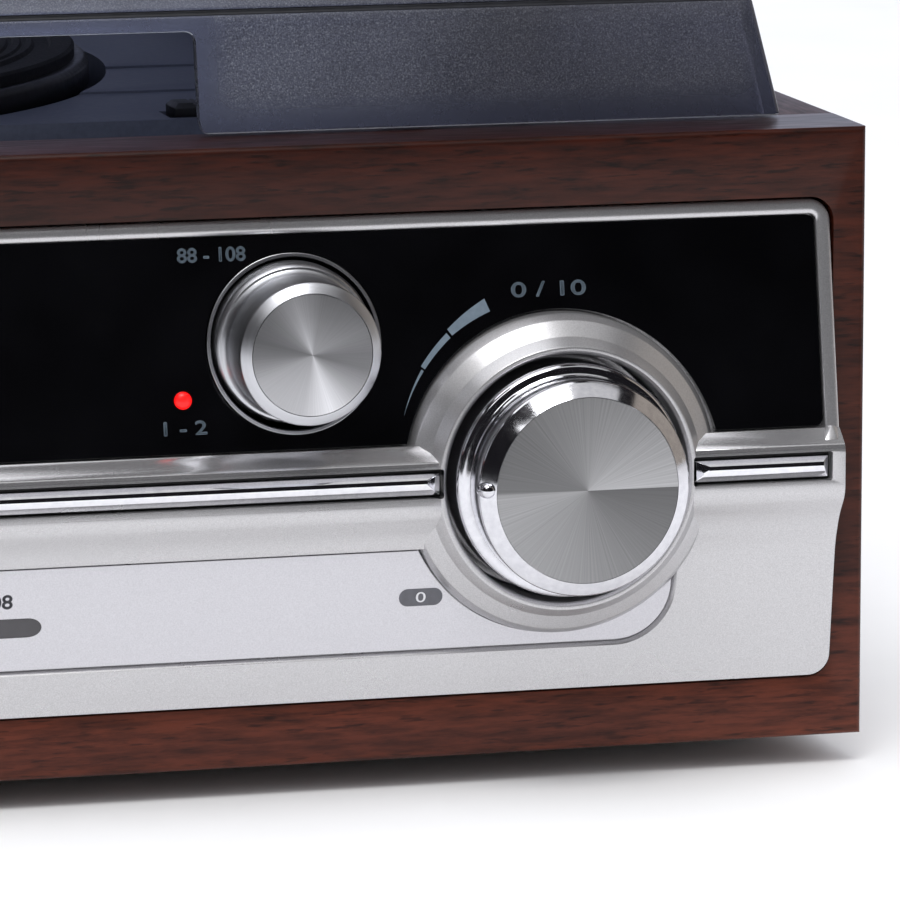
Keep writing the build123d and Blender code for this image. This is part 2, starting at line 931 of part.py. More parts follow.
def chrome_strips():
    """Roof-shaped strips with a narrow flat land and hipped ends."""
    strips = []
    high = strip_foot_z + strip_height
    for x0, x1 in strip_spans():
        middle = Pos((x0 + x1) / 2, (strip_foot_z + high) / 2)
        base = middle * Rectangle(x1 - x0, strip_height)
        land = Pos((x0 + x1) / 2, strip_land_z) * Rectangle(x1 - x0 - 2 * strip_hip, strip_land)
        upright = Rot(90, 0, 0)
        seat = along_y(base, strip_side_y, strip_floor_y)
        roof = loft(
            [
                (Pos(0, strip_side_y, 0) * upright * base).face(),
                (Pos(0, strip_front_y, 0) * upright * land).face(),
            ],
            ruled=True,
        )
        strips.append(seat + roof)
    return strips


def panel_screws():
    screws = []
    for x, z in panel_screw_places():
        length = front_board_thick - recess_depth + panel_screw_bite
        screws.append(
            screw_forward(
                x, z, front_board_thick, panel_screw_r, panel_screw_head_r, panel_screw_head_thick, length
            )
        )
    for x, z in board_post_places():
        face = radio_board_y + radio_board_thick
        length = radio_board_thick + panel_screw_bite
        screws.append(
            screw_forward(x, z, face, panel_screw_r, panel_screw_head_r, panel_screw_head_thick, length)
        )
    return screws


# Large knobs and the controls behind them
def large_knob(x):
    outline = [
        (shaft_r + insert_gap / 2, knob_back_y),
        (knob_skirt_r, knob_back_y),
        (knob_skirt_r, knob_skirt_front_y + 0.5),
        (knob_skirt_r - 0.5, knob_skirt_front_y),
        (knob_body_r + 0.1, knob_skirt_front_y),
        (knob_body_r - 0.4, knob_skirt_front_y - 0.4),
        (knob_body_r, knob_skirt_front_y - 0.9),
        (knob_bevel_r, knob_bevel_y),
        (insert_r + 2 * insert_gap, knob_face_y),
        (insert_r + insert_gap, knob_face_y + insert_thick),
        (0, knob_face_y + insert_thick),
        (0, knob_bore_end_y),
        (shaft_r + insert_gap / 2, knob_bore_end_y),
    ]
    knob = turned_y(x, knob_z, outline)
    nub_x = x - nub_centre_r
    nub = rod_y(nub_x, knob_z, nub_r, nub_front_y + nub_r, knob_skirt_front_y)
    nub += Pos(nub_x, nub_front_y + nub_r, knob_z) * Sphere(nub_r)
    nub -= rod_y(x, knob_z, insert_r + 2 * insert_gap, nub_front_y - 1, knob_face_y + insert_thick)
    return knob + nub


def insert_disc(x, z, radius, face_y, thick):
    outline = [
        (0, face_y),
        (radius - 0.25, face_y),
        (radius, face_y + 0.15),
        (radius, face_y + thick),
        (0, face_y + thick),
    ]
    return turned_y(x, z, outline)


def knob_shaft(x):
    return rod_y(x, knob_z, shaft_r, shaft_front_y, control_front_y + control_bore_depth)


def rotary_control(x):
    """A potentiometer or rotary switch: a square body on the board with a round bush in front."""
    half = control_half
    body = block(x - half, x + half, control_front_y, radio_board_y, knob_z - half, knob_z + half)
    body = chamfer(body.edges().filter_by(Axis.Y), 3.0)
    body += rod_y(x, knob_z, bush_r, knob_back_y + 0.6, control_front_y + 0.5)
    bore_end = control_front_y + control_bore_depth + 0.5
    return body - rod_y(x, knob_z, shaft_r + shaft_gap, -5, bore_end)


def radio_board():
    board = block(
        -radio_board_half,
        radio_board_half,
        radio_board_y,
        radio_board_y + radio_board_thick,
        radio_board_foot_z,
        radio_board_top_z,
    )
    for x, z in board_post_places():
        board -= rod_y(x, z, panel_screw_r + panel_screw_hole_gap, radio_board_y - 1, radio_board_y + 3)
    board -= rod_y(drum_x, drum_z, capacitor_boss_r + ring_gap, radio_board_y - 1, radio_board_y + 3)
    return board


# Tuning drive
def tuning_knob():
    outline = [
        (shaft_r + insert_gap / 2, tuning_back_y),
        (tuning_flange_r, tuning_back_y),
        (tuning_flange_r, tuning_flange_y + 0.5),
        (tuning_flange_r - 0.5, tuning_flange_y),
        (tuning_body_r, tuning_flange_y),
        (tuning_body_r, tuning_flange_y - 1.3),
        (tuning_body_r - 0.3, tuning_flange_y - 1.5),
        (tuning_body_r - 0.3, tuning_flange_y - 1.9),
        (tuning_body_r, tuning_flange_y - 2.1),
        (tuning_bevel_r, tuning_bevel_y),
        (tuning_insert_r + insert_gap, tuning_face_y),
        (tuning_insert_r + insert_gap, tuning_face_y + tuning_insert_thick),
        (0, tuning_face_y + tuning_insert_thick),
        (0, tuning_bore_end_y),
        (shaft_r + insert_gap / 2, tuning_bore_end_y),
    ]
    return turned_y(tuning_x, tuning_z, outline)


def tuning_ring():
    """A cup whose rim is cut to the window's lean, so that it stands a little proud all round."""
    outline = [
        (ring_r, ridge_y),
        (ring_r, ring_back_y),
        (shaft_r + ring_floor_thick, ring_back_y),
        (shaft_r + ring_floor_thick, ring_back_y - ring_floor_thick),
        (ring_r - ring_wall, ring_back_y - ring_floor_thick),
        (ring_r - ring_wall, ridge_y),
    ]
    cup = turned_y(tuning_x, tuning_z, outline)
    low = tuning_z - 2 * ring_r
    high = tuning_z + 2 * ring_r
    front = bead_proud - ring_proud
    points = [
        (window_face_y(low) + front, low),
        (window_face_y(high) + front, high),
        (front_board_thick, high),
        (front_board_thick, low),
    ]
    return cup & along_x(side_polygon(points), 0, half_width)


def wheel_outline(bore, root, flange):
    """A grooved wheel for the cord, as pairs of radius and Y about the cord's plane."""
    near = cord_y - groove_width / 2
    far = cord_y + groove_width / 2
    return [
        (bore, near - wheel_flange_thick),
        (flange, near - wheel_flange_thick),
        (flange, near),
        (root, near),
        (root, far),
        (flange, far),
        (flange, far + wheel_flange_thick),
        (bore, far + wheel_flange_thick),
    ]


def tuning_shaft():
    shaft = rod_y(tuning_x, tuning_z, shaft_r, tuning_shaft_front_y, radio_board_y - 0.4)
    return shaft + turned_y(tuning_x, tuning_z, wheel_outline(0, spool_r, spool_flange_r))


def tuning_drum():
    drum = turned_y(drum_x, drum_z, wheel_outline(0, drum_r, drum_r + drum_flange))
    for angle in (0, 120, 240):
        x = drum_x + 0.6 * drum_r * math.cos(math.radians(angle))
        z = drum_z + 0.6 * drum_r * math.sin(math.radians(angle))
        drum -= rod_y(x, z, drum_r / 5, 0, radio_board_y)
    inside = radio_board_y + radio_board_thick + capacitor_depth / 2
    return drum + rod_y(drum_x, drum_z, drum_bore_r, cord_y, inside)


def tuning_capacitor():
    back = radio_board_y + radio_board_thick
    half = capacitor_half
    body = block(drum_x - half, drum_x + half, back, back + capacitor_depth, drum_z - half, drum_z + half)
    body += rod_y(drum_x, drum_z, capacitor_boss_r, radio_board_y - 2, back + 1)
    return body - rod_y(drum_x, drum_z, drum_bore_r + shaft_gap, 0, back + capacitor_depth / 2 + 1)


def cord_circles(grow):
    return [
        CenterArc((guide_left_x, guide_z), guide_r + grow, 0, 360),
        CenterArc((guide_right_x, guide_z), guide_r + grow, 0, 360),
        CenterArc((tuning_x, tuning_z), spool_r + grow, 0, 360),
        CenterArc((drum_x, drum_z), drum_r + grow, 0, 360),
    ]


def dial_cord():
    """The cord's closed loop, tight round the drum, the spool and the two guide posts."""
    outside = make_hull(cord_circles(cord_gap + cord_size))
    inside = make_hull(cord_circles(cord_gap))
    return along_y(outside - inside, cord_y - cord_size / 2, cord_y + cord_size / 2)


def dial_frame():
    """Black moulding on the radio board: pointer rail, two cord posts and the tuning bush."""
    rail = block(-rail_half, rail_half, rail_front_y, dial_frame_y, rail_foot_z, rail_top_z)
    frame = block(
        guide_left_x - 2 * guide_r,
        guide_right_x + 2 * guide_r,
        dial_frame_y,
        radio_board_y,
        rail_foot_z - 2,
        guide_z + guide_r,
    )
    frame += rail
    near = cord_y - groove_width / 2
    far = cord_y + groove_width / 2
    for x in (guide_left_x, guide_right_x):
        outline = [
            (0, near - wheel_flange_thick),
            (guide_r + 1.5, near - wheel_flange_thick),
            (guide_r + 1.5, near),
            (guide_r, near),
            (guide_r, far),
            (guide_r + 1.5, far + 1),
            (guide_r + 1.5, dial_frame_y + 0.5),
            (0, dial_frame_y + 0.5),
        ]
        frame += turned_y(x, guide_z, outline)
    neck = shaft_r + 2.5
    frame += block(
        tuning_x - neck, tuning_x + neck, dial_frame_y, radio_board_y, guide_z, tuning_z
    )
    frame += rod_y(tuning_x, tuning_z, neck, far + wheel_flange_thick + 0.3, radio_board_y)
    return frame - rod_y(tuning_x, tuning_z, shaft_r + shaft_gap, 0, radio_board_y + 1)


def dial_pointer():
    """Slider that straddles the rail, with a needle that stands in the dial slot."""
    back = rail_front_y - pointer_gap
    front = back - pointer_thick
    top = rail_top_z + pointer_gap
    foot = rail_foot_z - pointer_gap
    slider = block(-pointer_half, pointer_half, front, back, foot - pointer_lip, top + pointer_lip)
    lip_back = back + pointer_gap + 2
    slider += block(-pointer_half, pointer_half, back, lip_back, top, top + pointer_lip)
    slider += block(-pointer_half, pointer_half, back, lip_back, foot - pointer_lip, foot)
    low = dial_slot_z - needle_height / 2
    high = dial_slot_z + needle_height / 2
    return slider + block(-needle_half, needle_half, needle_front_y, back, low, high)


def stereo_led():
    face = window_face_y(led_z) + bead_proud
    tip = face - led_proud
    flange = face + window_thick
    outline = [
        (0, tip),
        (led_r * 0.55, tip + 0.2),
        (led_r * 0.9, tip + 0.7),
        (led_r, tip + 1.4),
        (led_r, flange + 0.3),
        (led_flange_r, flange + 0.3),
        (led_flange_r, flange + 1.5),
        (0, flange + 1.5),
    ]
    lamp = turned_y(led_x, led_z, outline)
    for s in (-1, 1):
        x = led_x + s * led_r * 0.6
        lamp += block(
            x - led_leg / 2, x + led_leg / 2, flange, radio_board_y, led_z - led_leg / 2, led_z + led_leg / 2
        )
    return lamp


# Deck
def slider_recess(x, y, cap, travel, top):
    """The shallow slot in the deck that a sliding switch runs in, with the stem's through slot."""
    long, wide, _ = cap
    cut = block(
        x - long / 2 - slot_margin,
        x + long / 2 + travel + slot_margin,
        y - wide / 2 - slot_margin,
        y + wide / 2 + slot_margin,
        top - slot_depth,
        top + 5,
    )
    gap = slot_stem_gap
    cut += block(
        x - slot_stem - gap,
        x + travel + slot_stem + gap,
        y - slot_stem / 2 - gap,
        y + slot_stem / 2 + gap,
        top - deck_thick - 5,
        top,
    )
    return cut


def slider(x, y, cap, top):
    long, wide, tall = cap
    foot = top - slot_depth + cap_float
    body = block(x - long / 2, x + long / 2, y - wide / 2, y + wide / 2, foot, top + tall)
    body = chamfer(body.edges().group_by(Axis.Z)[-1], 0.8)
    for i in (-2, -1, 0, 1, 2):
        gx = x + i * 1.2
        body -= block(gx - 0.25, gx + 0.25, y - wide, y + wide, top + tall - 0.3, top + tall + 1)
    stem_foot = top - slot_stem_length
    stem = block(
        x - slot_stem, x + slot_stem, y - slot_stem / 2, y + slot_stem / 2, stem_foot, foot
    )
    return body + stem


def deck_pan():
    """The round pan that the platter sits in, with the spindle bearing's boss under it."""
    floor = well_bottom_z - deck_thick
    outline = [
        (0, bearing_foot_z),
        (bearing_boss_r, bearing_foot_z),
        (bearing_boss_r, floor),
        (pan_r + pan_wall, floor),
        (pan_r + pan_wall, step_z[0] - 0.5),
        (pan_r, step_z[0] - 0.5),
        (pan_r, well_bottom_z),
        (0, well_bottom_z),
    ]
    pan = turned_z(platter_x, platter_y, outline)
    return pan - block(-inner_half, inner_half, 0, step_y[0], trough_top_z, cabinet_height)


def deck():
    front = front_board_thick + deck_gap
    back = back_inner_y - deck_gap
    tops = (trough_top_z,) + step_z
    edges = (front,) + step_y + (back,)
    points = [(front, trough_top_z - deck_thick)]
    for i, top in enumerate(tops):
        points.append((edges[i], top))
        points.append((edges[i + 1], top))
    under = []
    for i in (3, 2, 1):
        under.append((edges[i + 1] if i == 3 else edges[i + 1] + deck_thick, tops[i] - deck_thick))
        under.append((edges[i] + deck_thick, tops[i] - deck_thick))
    under.append((edges[1] + deck_thick, trough_top_z - deck_thick))
    half = inner_half - deck_gap
    sheet = along_x(side_polygon(points + under), -half, half)
    sheet -= rod_z(platter_x, platter_y, pan_r, well_bottom_z, through)
    sheet += deck_pan()
    sheet -= rod_z(platter_x, platter_y, bearing_r + pilot_gap, bearing_foot_z + 2, through)
    sheet -= rod_z(motor_x, motor_y, pulley_r + 2, well_bottom_z - 5, well_bottom_z + 1)
    for x, y, z in deck_screw_places():
        sheet -= rod_z(x, y, wood_screw_r + panel_screw_hole_gap, z - 5, z + 5)
    sheet -= slider_recess(speed_x, speed_y, speed_cap, speed_travel, step_z[0])
    lift_x, lift_y = lift_post_place()
    sheet -= rod_z(lift_x, lift_y, lift_post_r + 1, step_z[2] - 5, step_z[2] + 5)
    post_top = trough_top_z + adaptor_height - 1.5
    sheet += rod_z(adaptor_x, adaptor_y, spindle_r, trough_top_z - 1, post_top)
    return sheet


# Platter and drive
def platter():
    disc_foot = platter_top_z - platter_disc
    outline = [
        (spindle_r + platter_spindle_gap, drive_ring_foot_z + 1),
        (platter_hub_r, drive_ring_foot_z + 1),
        (platter_hub_r, disc_foot),
        (drive_ring_r - drive_ring_wall, disc_foot),
        (drive_ring_r - drive_ring_wall, drive_ring_foot_z),
        (drive_ring_r, drive_ring_foot_z),
        (drive_ring_r, disc_foot),
        (platter_r - platter_rim, disc_foot),
        (platter_r - platter_rim, platter_foot_z),
        (platter_r - 0.8, platter_foot_z),
        (platter_r, platter_foot_z + 0.8),
        (platter_r, platter_top_z - 1.0),
        (platter_r - 1.0, platter_top_z),
        (spindle_r + platter_spindle_gap, platter_top_z),
    ]
    return turned_z(platter_x, platter_y, outline)


def platter_mat():
    top = platter_top_z + mat_thick
    low = top - mat_groove_depth
    outline = [
        (spindle_r + 0.4, platter_top_z),
        (mat_r, platter_top_z),
        (mat_r, top - 0.5),
        (mat_r - 0.5, top),
        (mat_r - 4, top),
        (mat_r - 4.5, low),
        (mat_r - 7, low),
        (mat_r - 7.5, top),
        (mat_label_r, top),
        (mat_label_r - 0.5, low),
        (spindle_r + 0.4, low),
    ]
    return turned_z(platter_x, platter_y, outline)


def spindle():
    top = platter_top_z + mat_thick + spindle_proud
    neck_top = platter_top_z + mat_thick
    flange_top = drive_ring_foot_z + 0.9
    outline = [
        (0, bearing_foot_z + 5),
        (spindle_r - 0.6, bearing_foot_z + 5),
        (spindle_r, bearing_foot_z + 5.6),
        (spindle_r, flange_top - 1.6),
        (bearing_r, flange_top - 1.6),
        (bearing_r, flange_top),
        (spindle_r, flange_top),
        (spindle_r, neck_top - spindle_neck_length),
        (spindle_r - spindle_neck, neck_top - spindle_neck_length),
        (spindle_r - spindle_neck, neck_top),
        (spindle_r, neck_top),
        (spindle_r, top - 2 * spindle_cap),
        (spindle_r - spindle_cap, top - 0.4 * spindle_cap),
        (spindle_r - 2 * spindle_cap, top),
        (0, top),
    ]
    return turned_z(platter_x, platter_y, outline)


def spindle_bearing():
    top = drive_ring_foot_z + 0.9 - 1.6 - 0.3
    outline = [
        (0, bearing_foot_z + 2),
        (bearing_r, bearing_foot_z + 2),
        (bearing_r, top),
        (spindle_r + bearing_gap, top),
        (spindle_r + bearing_gap, bearing_foot_z + 4.7),
        (0, bearing_foot_z + 4.7),
    ]
    return turned_z(platter_x, platter_y, outline)


def belt_path(grow):
    return make_hull(
        [
            CenterArc((platter_x, platter_y), drive_ring_r + grow, 0, 360),
            CenterArc((motor_x, motor_y), pulley_r + grow, 0, 360),
        ]
    )


def drive_belt():
    loop = belt_path(belt_gap + belt_thick) - belt_path(belt_gap)
    return Pos(0, 0, belt_foot_z) * extrude(loop, belt_height)


def drive_motor():
    top = well_bottom_z - deck_thick - motor_seat
    return turned_z(
        motor_x,
        motor_y,
        [
            (motor_shaft_r + motor_shaft_gap, top),
            (motor_r - 1, top),
            (motor_r, top - 1),
            (motor_r, top - motor_height + 1),
            (motor_r - 1, top - motor_height),
            (0, top - motor_height),
            (0, top - motor_shaft_depth - 1),
            (motor_shaft_r + motor_shaft_gap, top - motor_shaft_depth - 1),
        ],
    )


def motor_pulley():
    top = well_bottom_z - deck_thick - motor_seat
    step_z0 = (pulley_foot_z + pulley_top_z) / 2
    outline = [
        (0, top - motor_shaft_depth),
        (motor_shaft_r, top - motor_shaft_depth),
        (motor_shaft_r, pulley_foot_z),
        (pulley_r, pulley_foot_z),
        (pulley_r, belt_foot_z + belt_height + 0.5),
        (pulley_r - 1.5, step_z0 + belt_height / 2 + 1),
        (pulley_r - 1.5, pulley_top_z),
        (0, pulley_top_z),
    ]
    return turned_z(motor_x, motor_y, outline)


# Tonearm, drawn at rest with the tube pointing to the front
def around_arm(angle, reach):
    """A point at an angle inward from the arm's resting line, at a distance from its pivot."""
    turn = math.radians(270 - angle)
    return arm_x + reach * math.cos(turn), arm_y + reach * math.sin(turn)


def lift_post_place():
    return around_arm(lift_post_angle, lift_reach)


def tonearm_base():
    deck_top = step_z[2]
    base = turned_z(
        arm_x,
        arm_y,
        [
            (0, deck_top),
            (base_r, deck_top),
            (base_r, base_top_z - 1.5),
            (base_r - 1.5, base_top_z),
            (column_r, base_top_z),
            (column_r, column_top_z),
            (0, column_top_z),
        ],
    )
    px, py = lift_post_place()
    base += rod_z(px, py, lift_lobe_r, deck_top, base_top_z)
    reach = lift_reach / 2
    mx, my = around_arm(lift_post_angle, reach)
    bridge = Box(2 * lift_lobe_r * 0.9, lift_reach, base_top_z - deck_top)
    base += Pos(mx, my, (deck_top + base_top_z) / 2) * Rot(0, 0, -lift_post_angle) * bridge
    base -= rod_z(px, py, lift_post_r + lift_post_gap, deck_top - 1, base_top_z + 1)
    base -= rod_z(
        arm_x, arm_y, yoke_stem_r + yoke_stem_gap, column_top_z - yoke_stem_depth - 1, column_top_z + 1
    )
    ear = lever_thick / 2 + yoke_gap
    ear_x1 = lever_x - ear
    base += block(ear_x1 - 3, ear_x1, lever_y - 4, lever_y + 4, deck_top, lever_z + 3)
    base -= rod_x(lever_y, lever_z, lever_pin_r + pivot_pin_gap, ear_x1 - 4, ear_x1 + 1)
    return base


def arm_yoke():
    foot = column_top_z + yoke_gap
    top = foot + yoke_plate
    ear_out = yoke_inner_half + yoke_ear_thick
    yoke = rod_z(arm_x, arm_y, yoke_r, foot, top)
    yoke += rod_z(arm_x, arm_y, yoke_stem_r, column_top_z - yoke_stem_depth, foot + 0.5)
    for s in (-1, 1):
        inner = arm_x + s * yoke_inner_half
        outer = arm_x + s * ear_out
        ear = block(min(inner, outer), max(inner, outer), arm_y - 5, arm_y + 5, top - 0.5, arm_z)
        ear += rod_x(arm_y, arm_z, 5, min(inner, outer), max(inner, outer))
        yoke += ear
    hole_r = pivot_pin_r + pivot_pin_gap
    return yoke - rod_x(arm_y, arm_z, hole_r, arm_x - ear_out - 1, arm_x + ear_out + 1)


def arm_tube():
    """Pivot block with its cross pin, the tube in front and the weight behind."""
    ear_out = yoke_inner_half + yoke_ear_thick
    length = block_length
    tube = block(
        arm_x - block_half, arm_x + block_half, arm_y - length, arm_y + length, arm_z - 4, arm_z + 4.5
    )
    tube = fillet(tube.edges().filter_by(Axis.Z), 1.5)
    tube += rod_y(arm_x, arm_z, tube_r, arm_y - shell_back, arm_y)
    tube += rod_y(arm_x, arm_z, tube_r * 0.7, arm_y, arm_y + weight_start + 1)
    start = arm_y + weight_start
    end = start + weight_length
    outline = [(0, start), (weight_r - 1, start), (weight_r, start + 1)]
    outline += [(weight_r, end - 1), (weight_r - 1, end), (0, end)]
    tube += turned_y(arm_x, arm_z, outline)
    return tube + rod_x(arm_y, arm_z, pivot_pin_r, arm_x - ear_out + 0.2, arm_x + ear_out - 0.2)


def headshell():
    """Flat shell on the tube's end with a finger lift, hollow underneath for the cartridge."""
    back = arm_y - shell_back
    front = back - shell_length
    half = shell_width / 2
    shell = block(
        arm_x - half, arm_x + half, front, back, arm_z - shell_thick / 2, arm_z + shell_thick / 2
    )
    shell = fillet(shell.edges().filter_by(Axis.Z).sort_by(Axis.Y)[:2], 3.0)
    shell += rod_y(arm_x, arm_z, tube_r + 1.2, back - 4, back + 5)
    shell += block(arm_x + half - 0.5, arm_x + half + 6, front + 6, front + 12, arm_z - 0.6, arm_z + 0.6)
    return shell - rod_y(arm_x, arm_z, tube_r + 0.03, back, back + 6)


def cartridge():
    top = arm_z - shell_thick / 2
    front = arm_y - shell_back - shell_length + 2
    half = cartridge_width / 2
    body = block(arm_x - half, arm_x + half, front, front + cartridge_length, top - cartridge_height, top)
    return chamfer(body.edges().group_by(Axis.Z)[0], 1.0)


def stylus():
    top = arm_z - shell_thick / 2 - cartridge_height
    tip_y = arm_y - arm_length
    half = stylus_width / 2
    body = block(arm_x - half, arm_x + half, tip_y - 2, tip_y - 2 + stylus_length, top - stylus_height, top)
    tip = turned_z(
        arm_x,
        tip_y,
        [(0, stylus_tip_z), (stylus_tip_r, top - stylus_height + 0.2), (0, top - stylus_height + 0.2)],
    )
    return body + tip


def arm_rest():
    deck_top = step_z[1]
    shelf_z = arm_z - tube_r - rest_gap
    rest = rod_z(arm_x, rest_y, rest_post_r, deck_top, shelf_z - 1)
    rest += rod_z(arm_x, rest_y, rest_post_r + 2.5, deck_top, deck_top + 2)
    wall = arm_x + tube_r + rest_gap
    rest += block(arm_x - rest_half, wall + rest_wall, rest_y - 4, rest_y + 4, shelf_z - 2.5, shelf_z)
    return rest + block(wall, wall + rest_wall, rest_y - 4, rest_y + 4, shelf_z - 1, arm_z + 2)


def lift_bar():
    """Curved bar under the tube on a post that rises from the arm's base."""
    top = arm_z - tube_r - rest_gap
    ring = rod_z(arm_x, arm_y, lift_reach + lift_bar_half, top - lift_bar_thick, top)
    ring -= rod_z(arm_x, arm_y, lift_reach - lift_bar_half, top - lift_bar_thick - 1, top + 1)
    reach = 2 * lift_reach
    corners = [(arm_x, arm_y)]
    steps = 4
    for i in range(steps + 1):
        angle = lift_start_angle + (lift_end_angle - lift_start_angle) * i / steps
        corners.append(around_arm(angle, reach))
    sector = extrude(make_face(Polyline(corners, close=True)), through)
    px, py = lift_post_place()
    foot = step_z[2] - deck_thick
    return (ring & sector) + rod_z(px, py, lift_post_r, foot, top - 1)


def cue_lever():
    half = lever_thick / 2
    x0 = lever_x - half
    x1 = lever_x + half
    arm = block(x0, x1, lever_y - lever_length, lever_y, lever_z - 1.5, lever_z + 1.5)
    arm += rod_x(lever_y, lever_z, lever_r, x0, x1)
    arm += rod_x(lever_y - lever_length, lever_z, 2.2, x0 - 0.8, x1 + 0.8)
    return arm + rod_x(lever_y, lever_z, lever_pin_r, x0 - yoke_gap - 3, x0 + 0.5)


def adaptor():
    foot = trough_top_z + cap_float
    bore = spindle_r + adaptor_post_gap
    top = foot + adaptor_height
    outline = [
        (bore, foot),
        (adaptor_r - 1, foot),
        (adaptor_r, foot + 1),
        (adaptor_r, top - 1.5),
        (adaptor_r - 1.5, top),
        (adaptor_lobe_r + 5, top),
        (adaptor_lobe_r + 4, top - 1.5),
        (adaptor_lobe_r + 1, top - 1.5),
        (adaptor_lobe_r, top),
        (bore, top),
    ]
    return turned_z(adaptor_x, adaptor_y, outline)


# Lid
def lid_sections(inset, foot, top):
    """Three rounded rectangles, foot, shoulder and top, drawn in by inset."""
    bottom_half = half_width - lid_side_inset
    back = cabinet_depth - lid_back_inset
    faces = []
    for z, inward, radius in (
        (foot, 0, lid_corner_r),
        (lid_shoulder_z, lid_shoulder_in, lid_corner_r + 1),
        (top, lid_top_in, lid_top_corner_r),
    ):
        half = bottom_half - inward - inset
        front = lid_front_y + inward + inset
        rear = back - (inward if inward == lid_top_in else 0) - inset
        middle = Pos(0, (front + rear) / 2, z)
        faces.append((middle * RectangleRounded(2 * half, rear - front, max(radius - inset, 1))).face())
    return faces


def notch_cutter(width, height):
    """A notch outline, open at its foot, with small round upper corners and flared lower ones."""
    half = width / 2
    flare = notch_flare
    outline = Pos(0, height / 2) * Rectangle(width, height)
    outline = fillet(outline.vertices().sort_by(Axis.Y)[-2:], notch_r)
    outline += Pos(0, -5) * Rectangle(width + 2 * flare, 10)
    for s in (-1, 1):
        corner = Pos(s * (half + flare / 2), flare / 2) * Rectangle(flare, flare)
        outline += corner - Pos(s * (half + flare), flare) * Circle(flare)
    return outline


def lid():
    foot = cabinet_height + lid_lift
    shell = loft(lid_sections(0, foot, lid_top_z), ruled=True)
    hollow = loft(lid_sections(lid_wall, foot - 0.001, lid_top_z - lid_wall), ruled=True)
    shell = shell - hollow
    cutter = Pos(platter_x, foot) * notch_cutter(2 * notch_half, notch_height)
    back = cabinet_depth - lid_back_inset
    shell -= along_y(cutter, lid_front_y - 2, lid_front_y + 12)
    shell -= along_y(cutter, back - 8, back + 2)
    side_cutter = Pos(platter_y, foot) * notch_cutter(2 * side_notch_half, notch_height)
    outer = half_width - lid_side_inset
    shell -= Pos(-outer - 2, 0, 0) * extrude(Plane.YZ * side_cutter, 12)
    for x, z in rivet_places():
        shell -= rod_y(x, z, hinge_rivet_r + hinge_rivet_gap, back - lid_wall - 2, back + 2)
    return shell


# Hinges
def rivet_places():
    middle = (hinge_plate_top_z + hinge_axis_z + hinge_plate_rise) / 2 + 1
    return [(s * hinge_x + dx, middle) for s in (-1, 1) for dx in (-hinge_half / 2, hinge_half / 2)]


def hinge_screw_places():
    z = (hinge_foot_z + cabinet_height) / 2
    return [(s * hinge_x + dx, z - 3) for s in (-1, 1) for dx in (-hinge_half / 2, hinge_half / 2)]


def hinge_bases():
    shapes = []
    middle = hinge_middle_half + hinge_gap
    for s in (-1, 1):
        x = s * hinge_x
        leaf = block(
            x - hinge_half, x + hinge_half, cabinet_depth, cabinet_depth + hinge_leaf, hinge_foot_z, hinge_axis_z
        )
        for x0, x1 in ((x - hinge_half, x - middle), (x + middle, x + hinge_half)):
            leaf += rod_x(hinge_axis_y, hinge_axis_z, hinge_barrel_r, x0, x1)
            leaf += block(
                x0, x1, cabinet_depth, hinge_axis_y, hinge_axis_z - hinge_barrel_r, hinge_axis_z
            )
        clear = hinge_barrel_r + hinge_gap
        leaf -= rod_x(hinge_axis_y, hinge_axis_z, clear, x - middle, x + middle)
        leaf -= block(
            x - middle, x + middle, cabinet_depth - 1, hinge_axis_y, hinge_axis_z - clear, hinge_axis_z + 1
        )
        leaf += rod_x(hinge_axis_y, hinge_axis_z, hinge_pin_r, x - hinge_half, x + hinge_half)
        for sx, sz in hinge_screw_places():
            if sx * s > 0:
                leaf += rod_y(sx, sz, 2.6, cabinet_depth + 0.5, cabinet_depth + hinge_leaf + 1.0)
                leaf -= block(sx - 2.6, sx + 2.6, cabinet_depth + hinge_leaf + 0.5, cabinet_depth + 9, sz - 0.4, sz + 0.4)
        shapes.append(leaf)
    return shapes


def hinge_arms():
    shapes = []
    wall = cabinet_depth - lid_back_inset
    low = hinge_axis_z + hinge_plate_rise
    for s in (-1, 1):
        x = s * hinge_x
        half = hinge_middle_half
        arm = rod_x(hinge_axis_y, hinge_axis_z, hinge_barrel_r, x - half, x + half)
        arm += block(x - half, x + half, wall, hinge_axis_y, low, low + hinge_leaf)
        arm += block(x - hinge_half, x + hinge_half, wall, wall + hinge_leaf, low, hinge_plate_top_z)
        arm -= rod_x(
            hinge_axis_y, hinge_axis_z, hinge_pin_r + hinge_pin_gap, x - half - 1, x + half + 1
        )
        for rx, rz in rivet_places():
            if rx * s > 0:
                arm += rod_y(rx, rz, hinge_rivet_r, wall - lid_wall - 1.0, wall + hinge_leaf + 0.8)
                arm += rod_y(rx, rz, 2.6, wall + hinge_leaf - 0.2, wall + hinge_leaf + 0.9)
                arm += rod_y(rx, rz, 2.6, wall - lid_wall - 1.1, wall - lid_wall - 0.1)
        shapes.append(arm)
    return shapes


# Loudspeakers
def speaker_frame(side):
    inner = inner_half
    back = inner - speaker_depth
    magnet = back + speaker_magnet_depth
    outline = [
        (speaker_hole_r - 2, inner),
        (speaker_r, inner),
        (speaker_r, inner - speaker_flange),
        (speaker_hole_r - 1, inner - speaker_flange),
        (speaker_magnet_r - 2, magnet),
        (speaker_magnet_r, magnet),
        (speaker_magnet_r, back),
        (0, back),
        (0, magnet + 1.5),
        (speaker_magnet_r - 4, magnet + 1.5),
        (speaker_hole_r - 3.5, inner - speaker_flange),
    ]
    return turned_x(speaker_y, speaker_z, [(r, side * x) for r, x in outline])


